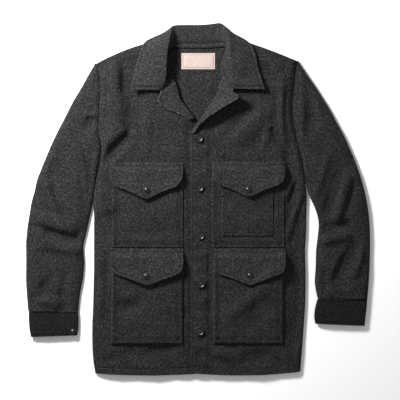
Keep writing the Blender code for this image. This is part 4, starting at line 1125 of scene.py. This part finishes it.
def flapGrid(name):
    # a flap that hangs over its pocket, with a pointed lower edge that stands a little free
    leftX, topY, width, depth, low, high, shape = flapLook[name]
    side = "right" if name.endswith("right") else "left"
    edge = through(flapLook["edge"], np.linspace(0, 14, 14 * 12 + 1))
    share = closeSteps(width, (flapLook["edgeStitch"],), 3.0) / width
    drop = depth * np.interp(share, edge[:, 0], edge[:, shape])[None, :]
    rows = closeSteps(100, (flapLook["edgeStitch"] * 1.4, flapLook["topStitch"] * 1.4), 5.0)[:, None] / 100
    x = leftX + width * share[None, :] + 0 * rows
    y = topY - drop * rows
    plan = np.stack([x, y], -1)
    rise = low + (high - low) * smoothStep(topY - y, *flapLook["rise"])
    outline = np.stack([leftX + width * edge[:, 0], topY - depth * edge[:, shape]], -1)
    line = np.vstack([[[leftX, topY]], outline, [[leftX + width, topY]]])
    away = segmentDistance(plan.reshape(-1, 2), line[:-1], line[1:])[0].min(1).reshape(x.shape)
    height = frontHeight(plan, side) + rise
    free = smoothStep(topY - y, *flapLook["free"])
    # the lower edge curls up, more towards the wearer's left
    curl = flapLook["curl"] * (1 - smoothStep(away, 0, flapLook["curlReach"]))
    height += free * curl * (0.55 + 0.45 * share)
    height += free * lumps(plan, 31 + len(name), 60, 0.35)
    height += seamRelief(topY - y, x, flapLook["topStitch"], 0.7, depth=0.8, pucker=0.15)
    height += seamRelief(away, x, flapLook["edgeStitch"], 2.9, depth=0.4, pucker=0.15)
    height -= edgeDrop(away, flapLook["radius"])
    # painted highlight along the flap's edge and top, painted shade along its stitching
    paintedShading = 0.5 * edgePaintedLight(away, 2.2) + 0.7 * seamPaintedShade(away, flapLook["edgeStitch"])
    paintedShading += seamPaintedShade(topY - y, flapLook["topStitch"])
    paintedShading += 0.8 * edgePaintedLight(topY - y, 3)
    return withHeight(plan, height, paintedShading), away


for name in ("chest_right", "chest_left", "lower_right", "lower_left"):
    points, away = flapGrid(name)
    order = points[::-1]
    piece = clothGrid("flap_" + name + "_cloth", order, turnedUv(order, -1, 3300 + points[0, 0, 0]),
                      cloth["wall"], woolPaintedLight)
    wear(piece, "wool_light", "flap_" + name)
    leftX, topY, width, depth = flapLook[name][:4]
    seamY = topY - flapLook["topStitch"]
    addStitches(piece, [(leftX + 4, seamY), (leftX + width - 4, seamY)])
    row = int(np.argmin(np.abs(away[:, points.shape[1] // 2] - flapLook["edgeStitch"])))
    inset = points[row][5:-5, :2]
    addStitches(piece, [tuple(p) for p in inset])
print("flaps made")


# Buttons

buttonLook = {
    "gap": 1.0,
    "front": {"nodes": ["button_%d" % k for k in range(1, 6)], "radius": 10.0, "thick": 3.4, "dish": 1.75,
              "profile": ((0.35, 0.25), (1, 0), (0.4, -0.3), (0.9, -0.75), (1.3, -0.45), (1.8, -0.22),
                          (1.4, -0.08)),
              "holes": 1.9, "holeRadius": 0.95, "tieRadius": 0.75, "sides": 40, "round": 0.35,
              "roundAngle": 28},
    "pocket": {"nodes": ["pocket_button_chest_right", "pocket_button_chest_left", "pocket_button_lower_right",
                         "pocket_button_lower_left", "cuff_button_right"], "radius": 7.0, "thick": 1.4,
               "profile": ((0.4, 0.3), (0.7, -0.2), (0.4, 0.45), (1.0, 0.75), (1.1, 0.55), (1.0, 0.36),
                           (0.9, 0.16), (0.6, 0.04)), "sides": 32, "round": 0.25, "roundAngle": 30},
}


def selectFaces(piece, wanted):
    bpy.ops.object.mode_set(mode="EDIT")
    bpy.ops.mesh.select_mode(type="FACE")
    bpy.ops.mesh.select_all(action="DESELECT")
    bpy.ops.object.mode_set(mode="OBJECT")
    for face in piece.data.polygons:
        face.select = wanted(face)
    bpy.ops.object.mode_set(mode="EDIT")


def buttonSeat(node):
    # the middle of the button and the height of the cloth right under it
    low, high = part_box(node)
    x, y = (low.x + high.x) / 2, (low.y + high.y) / 2
    under = node.replace("pocket_button", "flap") + "_cloth"
    if node.startswith("button"):
        under = "front_left_cloth"
    elif node.startswith("cuff"):
        under = "cuff_right_cloth"
    graph = bpy.context.evaluated_depsgraph_get()
    tree = BVHTree.FromObject(bpy.data.objects[under], graph)
    tops = [tree.ray_cast(Vector((x + dx * mm, y + dy * mm, 0.2)), Vector((0, 0, -1)))[0].z
            for dx, dy in ((0, 0), (5, 0), (-5, 0), (0, 5), (0, -5))]
    return x, y, max(tops) + buttonLook["gap"] * mm


def buttonBody(node, look):
    # a cylinder whose top face is inset and raised or lowered step by step, to a rim and a bowl
    x, y, z = buttonSeat(node)
    thick = look["thick"] * mm
    deselectAll()
    bpy.ops.mesh.primitive_cylinder_add(vertices=look["sides"], radius=look["radius"] * mm, depth=thick,
                                        location=(x, y, z + thick / 2))
    button = bpy.context.object
    bpy.ops.object.transform_apply(location=True)
    selectFaces(button, lambda face: face.normal.z > 0.9)
    for inset, lift in look["profile"]:
        bpy.ops.mesh.inset(thickness=inset * mm)
        bpy.ops.transform.translate(value=(0, 0, lift * mm))
    bpy.ops.object.mode_set(mode="OBJECT")
    return button, (x, y, z)


def finishButton(button, node, look):
    applyModifier(button, "BEVEL", "round", width=look["round"] * mm, segments=3, limit_method="ANGLE",
                  angle_limit=math.radians(look["roundAngle"]))
    button.name = node + "_horn"
    button.data.materials.append(horn)
    wear(button, "horn", node)


def sewnButton(node):
    # four holes and two lines of thread
    look = buttonLook["front"]
    button, (x, y, z) = buttonBody(node, look)
    for turn in range(4):
        angle = math.radians(45 + 90 * turn)
        deselectAll()
        holeX, holeY = x + look["holes"] * mm * math.cos(angle), y + look["holes"] * mm * math.sin(angle)
        bpy.ops.mesh.primitive_cylinder_add(vertices=14, radius=look["holeRadius"] * mm, depth=12 * mm,
                                            location=(holeX, holeY, z))
        hole = bpy.context.object
        applyModifier(button, "BOOLEAN", "hole", object=hole, operation="DIFFERENCE")
        bpy.data.objects.remove(hole, do_unlink=True)
    threads = []
    tieZ = z + (look["thick"] - look["dish"] + 0.1) * mm
    for sign in (-1, 1):
        deselectAll()
        bpy.ops.mesh.primitive_cylinder_add(
            vertices=10, radius=look["tieRadius"] * mm, depth=2 * look["holes"] * mm * 0.85,
            location=(x, y + look["holes"] * mm * 0.707 * sign, tieZ),
            rotation=(0, math.pi / 2, 0))
        tie = bpy.context.object
        bpy.ops.object.transform_apply(location=True, rotation=True)
        applyModifier(tie, "BEVEL", "round", width=0.4 * mm, segments=2, limit_method="ANGLE")
        threads.append(tie)
    deselectAll()
    for tie in threads:
        tie.select_set(True)
    bpy.context.view_layer.objects.active = threads[0]
    bpy.ops.object.join()
    tie = bpy.context.object
    tie.name = node + "_thread"
    tie.data.materials.append(thread)
    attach(tie, "root")
    finishButton(button, node, look)


for node in buttonLook["front"]["nodes"]:
    sewnButton(node)
for node in buttonLook["pocket"]["nodes"]:
    finishButton(buttonBody(node, buttonLook["pocket"])[0], node, buttonLook["pocket"])
for node in buttonLook["front"]["nodes"] + buttonLook["pocket"]["nodes"]:
    piece = bpy.data.objects[node + "_horn"]
    deselectAll()
    piece.select_set(True)
    bpy.context.view_layer.objects.active = piece
    bpy.ops.object.shade_smooth_by_angle(angle=math.radians(40))
print("buttons made")


# Label, left bare but for a thin frame line

across, down = (closeSteps(side, (labelLook["inner"],), labelLook["spacing"]) for side in labelLook["size"])
plan = np.stack(np.meshgrid(labelLook["left"] + across, labelLook["top"] - down), -1)
away = np.minimum(np.minimum(across, across[::-1])[None, :], np.minimum(down, down[::-1])[:, None])
height = labelLook["base"] + labelLook["wall"] + 0.5 * smoothStep(away, 2, 9) + lumps(plan, 41, 26, 0.22)
height -= edgeDrop(away, 0.5)
labelPoints = np.concatenate([plan, height[..., None]], -1)[::-1]
label = clothGrid("label_cloth", labelPoints, turnedUv(labelPoints, 0, 0), labelLook["wall"], labelCotton)
wear(label, "cotton", "label")
print("label made")


# Sewing: one stitch, arrayed along every seam line and set down on its piece

sewing = {"length": 2.7, "pitch": 3.5, "width": 0.62, "thick": 0.42, "sink": 0.06}


def stitchModel():
    deselectAll()
    bpy.ops.mesh.primitive_cube_add(size=1, location=(0, 0, 0))
    stitch = bpy.context.object
    stitch.scale = (sewing["length"] * mm, sewing["width"] * mm, sewing["thick"] * mm)
    bpy.ops.object.transform_apply(location=False, rotation=False, scale=True)
    applyModifier(stitch, "BEVEL", "round", width=0.16 * mm, segments=1)
    stitch.name = "stitch"
    return stitch


def surfaceLine(piece, line, tree):
    # the line set down on the piece's upper face, in even steps
    points = np.array(line, float)
    length = runLength(points)
    count = max(int(length[-1] / sewing["pitch"]), 2)
    places = np.linspace(0, length[-1], count + 1)
    x, y = (np.interp(places, length, points[:, k]) for k in range(2))
    found = []
    for px, py in zip(x, y):
        hit = tree.ray_cast(Vector((px * mm, py * mm, 0.2)), Vector((0, 0, -1)))[0]
        if hit is not None:
            found.append(hit + Vector((0, 0, -sewing["sink"] * mm)))
    return found


def sew():
    stitch = stitchModel()
    source = stitch.data
    corners = np.zeros(len(source.vertices) * 3, np.float32)
    source.vertices.foreach_get("co", corners)
    corners = corners.reshape(-1, 3)
    byPiece = {}
    for piece, line in stitched:
        byPiece.setdefault(piece, []).append(line)
    graph = bpy.context.evaluated_depsgraph_get()
    for piece, lines in byPiece.items():
        tree = BVHTree.FromObject(piece, graph)
        copies = []
        for line in lines:
            places = surfaceLine(piece, line, tree)
            for start, end in zip(places, places[1:]):
                along = end - start
                if along.length > 2 * sewing["pitch"] * mm or along.length < 0.3 * sewing["pitch"] * mm:
                    continue
                copies.append(((start + end) / 2, along.to_track_quat("X", "Z").to_matrix()))
        deselectAll()
        sewn = bpy.data.objects.new(piece.name.replace("_cloth", "_stitches"), source.copy())
        bpy.context.scene.collection.objects.link(sewn)
        array = sewn.modifiers.new("row", "ARRAY")
        array.count = len(copies)
        array.use_relative_offset = False
        bpy.context.view_layer.objects.active = sewn
        bpy.ops.object.modifier_apply(modifier="row")
        placed = np.concatenate([corners @ np.array(turn).T + np.array(middle) for middle, turn in copies])
        sewn.data.vertices.foreach_set("co", placed.astype(np.float32).ravel())
        sewn.data.update()
        sewn.data.materials.append(thread)
        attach(sewn, "root")
    bpy.data.objects.remove(stitch, do_unlink=True)


sew()
print("sewing made")


# Floor, light and camera

stageLook = {
    "floor": 6.0, "under": 0.0002, "centre": (0.0046, -0.0014), "distance": 2.4, "lens": 92.0, "sensor": 36,
    "key": {"place": (-0.80, 0.80, 0.84), "size": 0.3, "power": 46},
    "fill": {"place": (1.2, -0.5, 2.6), "size": 2.2, "power": 3},
    "sky": 0.39,
}
deselectAll()
bpy.ops.mesh.primitive_plane_add(size=stageLook["floor"], location=(0, 0, -stageLook["under"]))
floor = bpy.context.object
floor.name = "floor"
floor.data.materials.append(floorMaterial())

for name in ("key", "fill"):
    look = stageLook[name]
    bpy.ops.object.light_add(type="AREA", location=look["place"])
    lamp = bpy.context.object
    lamp.name = name + "Light"
    lamp.data.size = look["size"]
    lamp.data.energy = look["power"]
    lamp.rotation_euler = (-Vector(look["place"])).to_track_quat("-Z", "Y").to_euler()

world = bpy.data.worlds.new("studio")
world.use_nodes = True
world.node_tree.nodes["Background"].inputs["Color"].default_value = (1, 1, 1, 1)
world.node_tree.nodes["Background"].inputs["Strength"].default_value = stageLook["sky"]
bpy.context.scene.world = world
bpy.context.scene.view_settings.view_transform = "Standard"

bpy.ops.object.camera_add(location=(*stageLook["centre"], stageLook["distance"]), rotation=(0, 0, 0))
camera = bpy.context.object
camera.data.lens = stageLook["lens"]
camera.data.sensor_width = stageLook["sensor"]
bpy.context.scene.camera = camera
print("stage set")
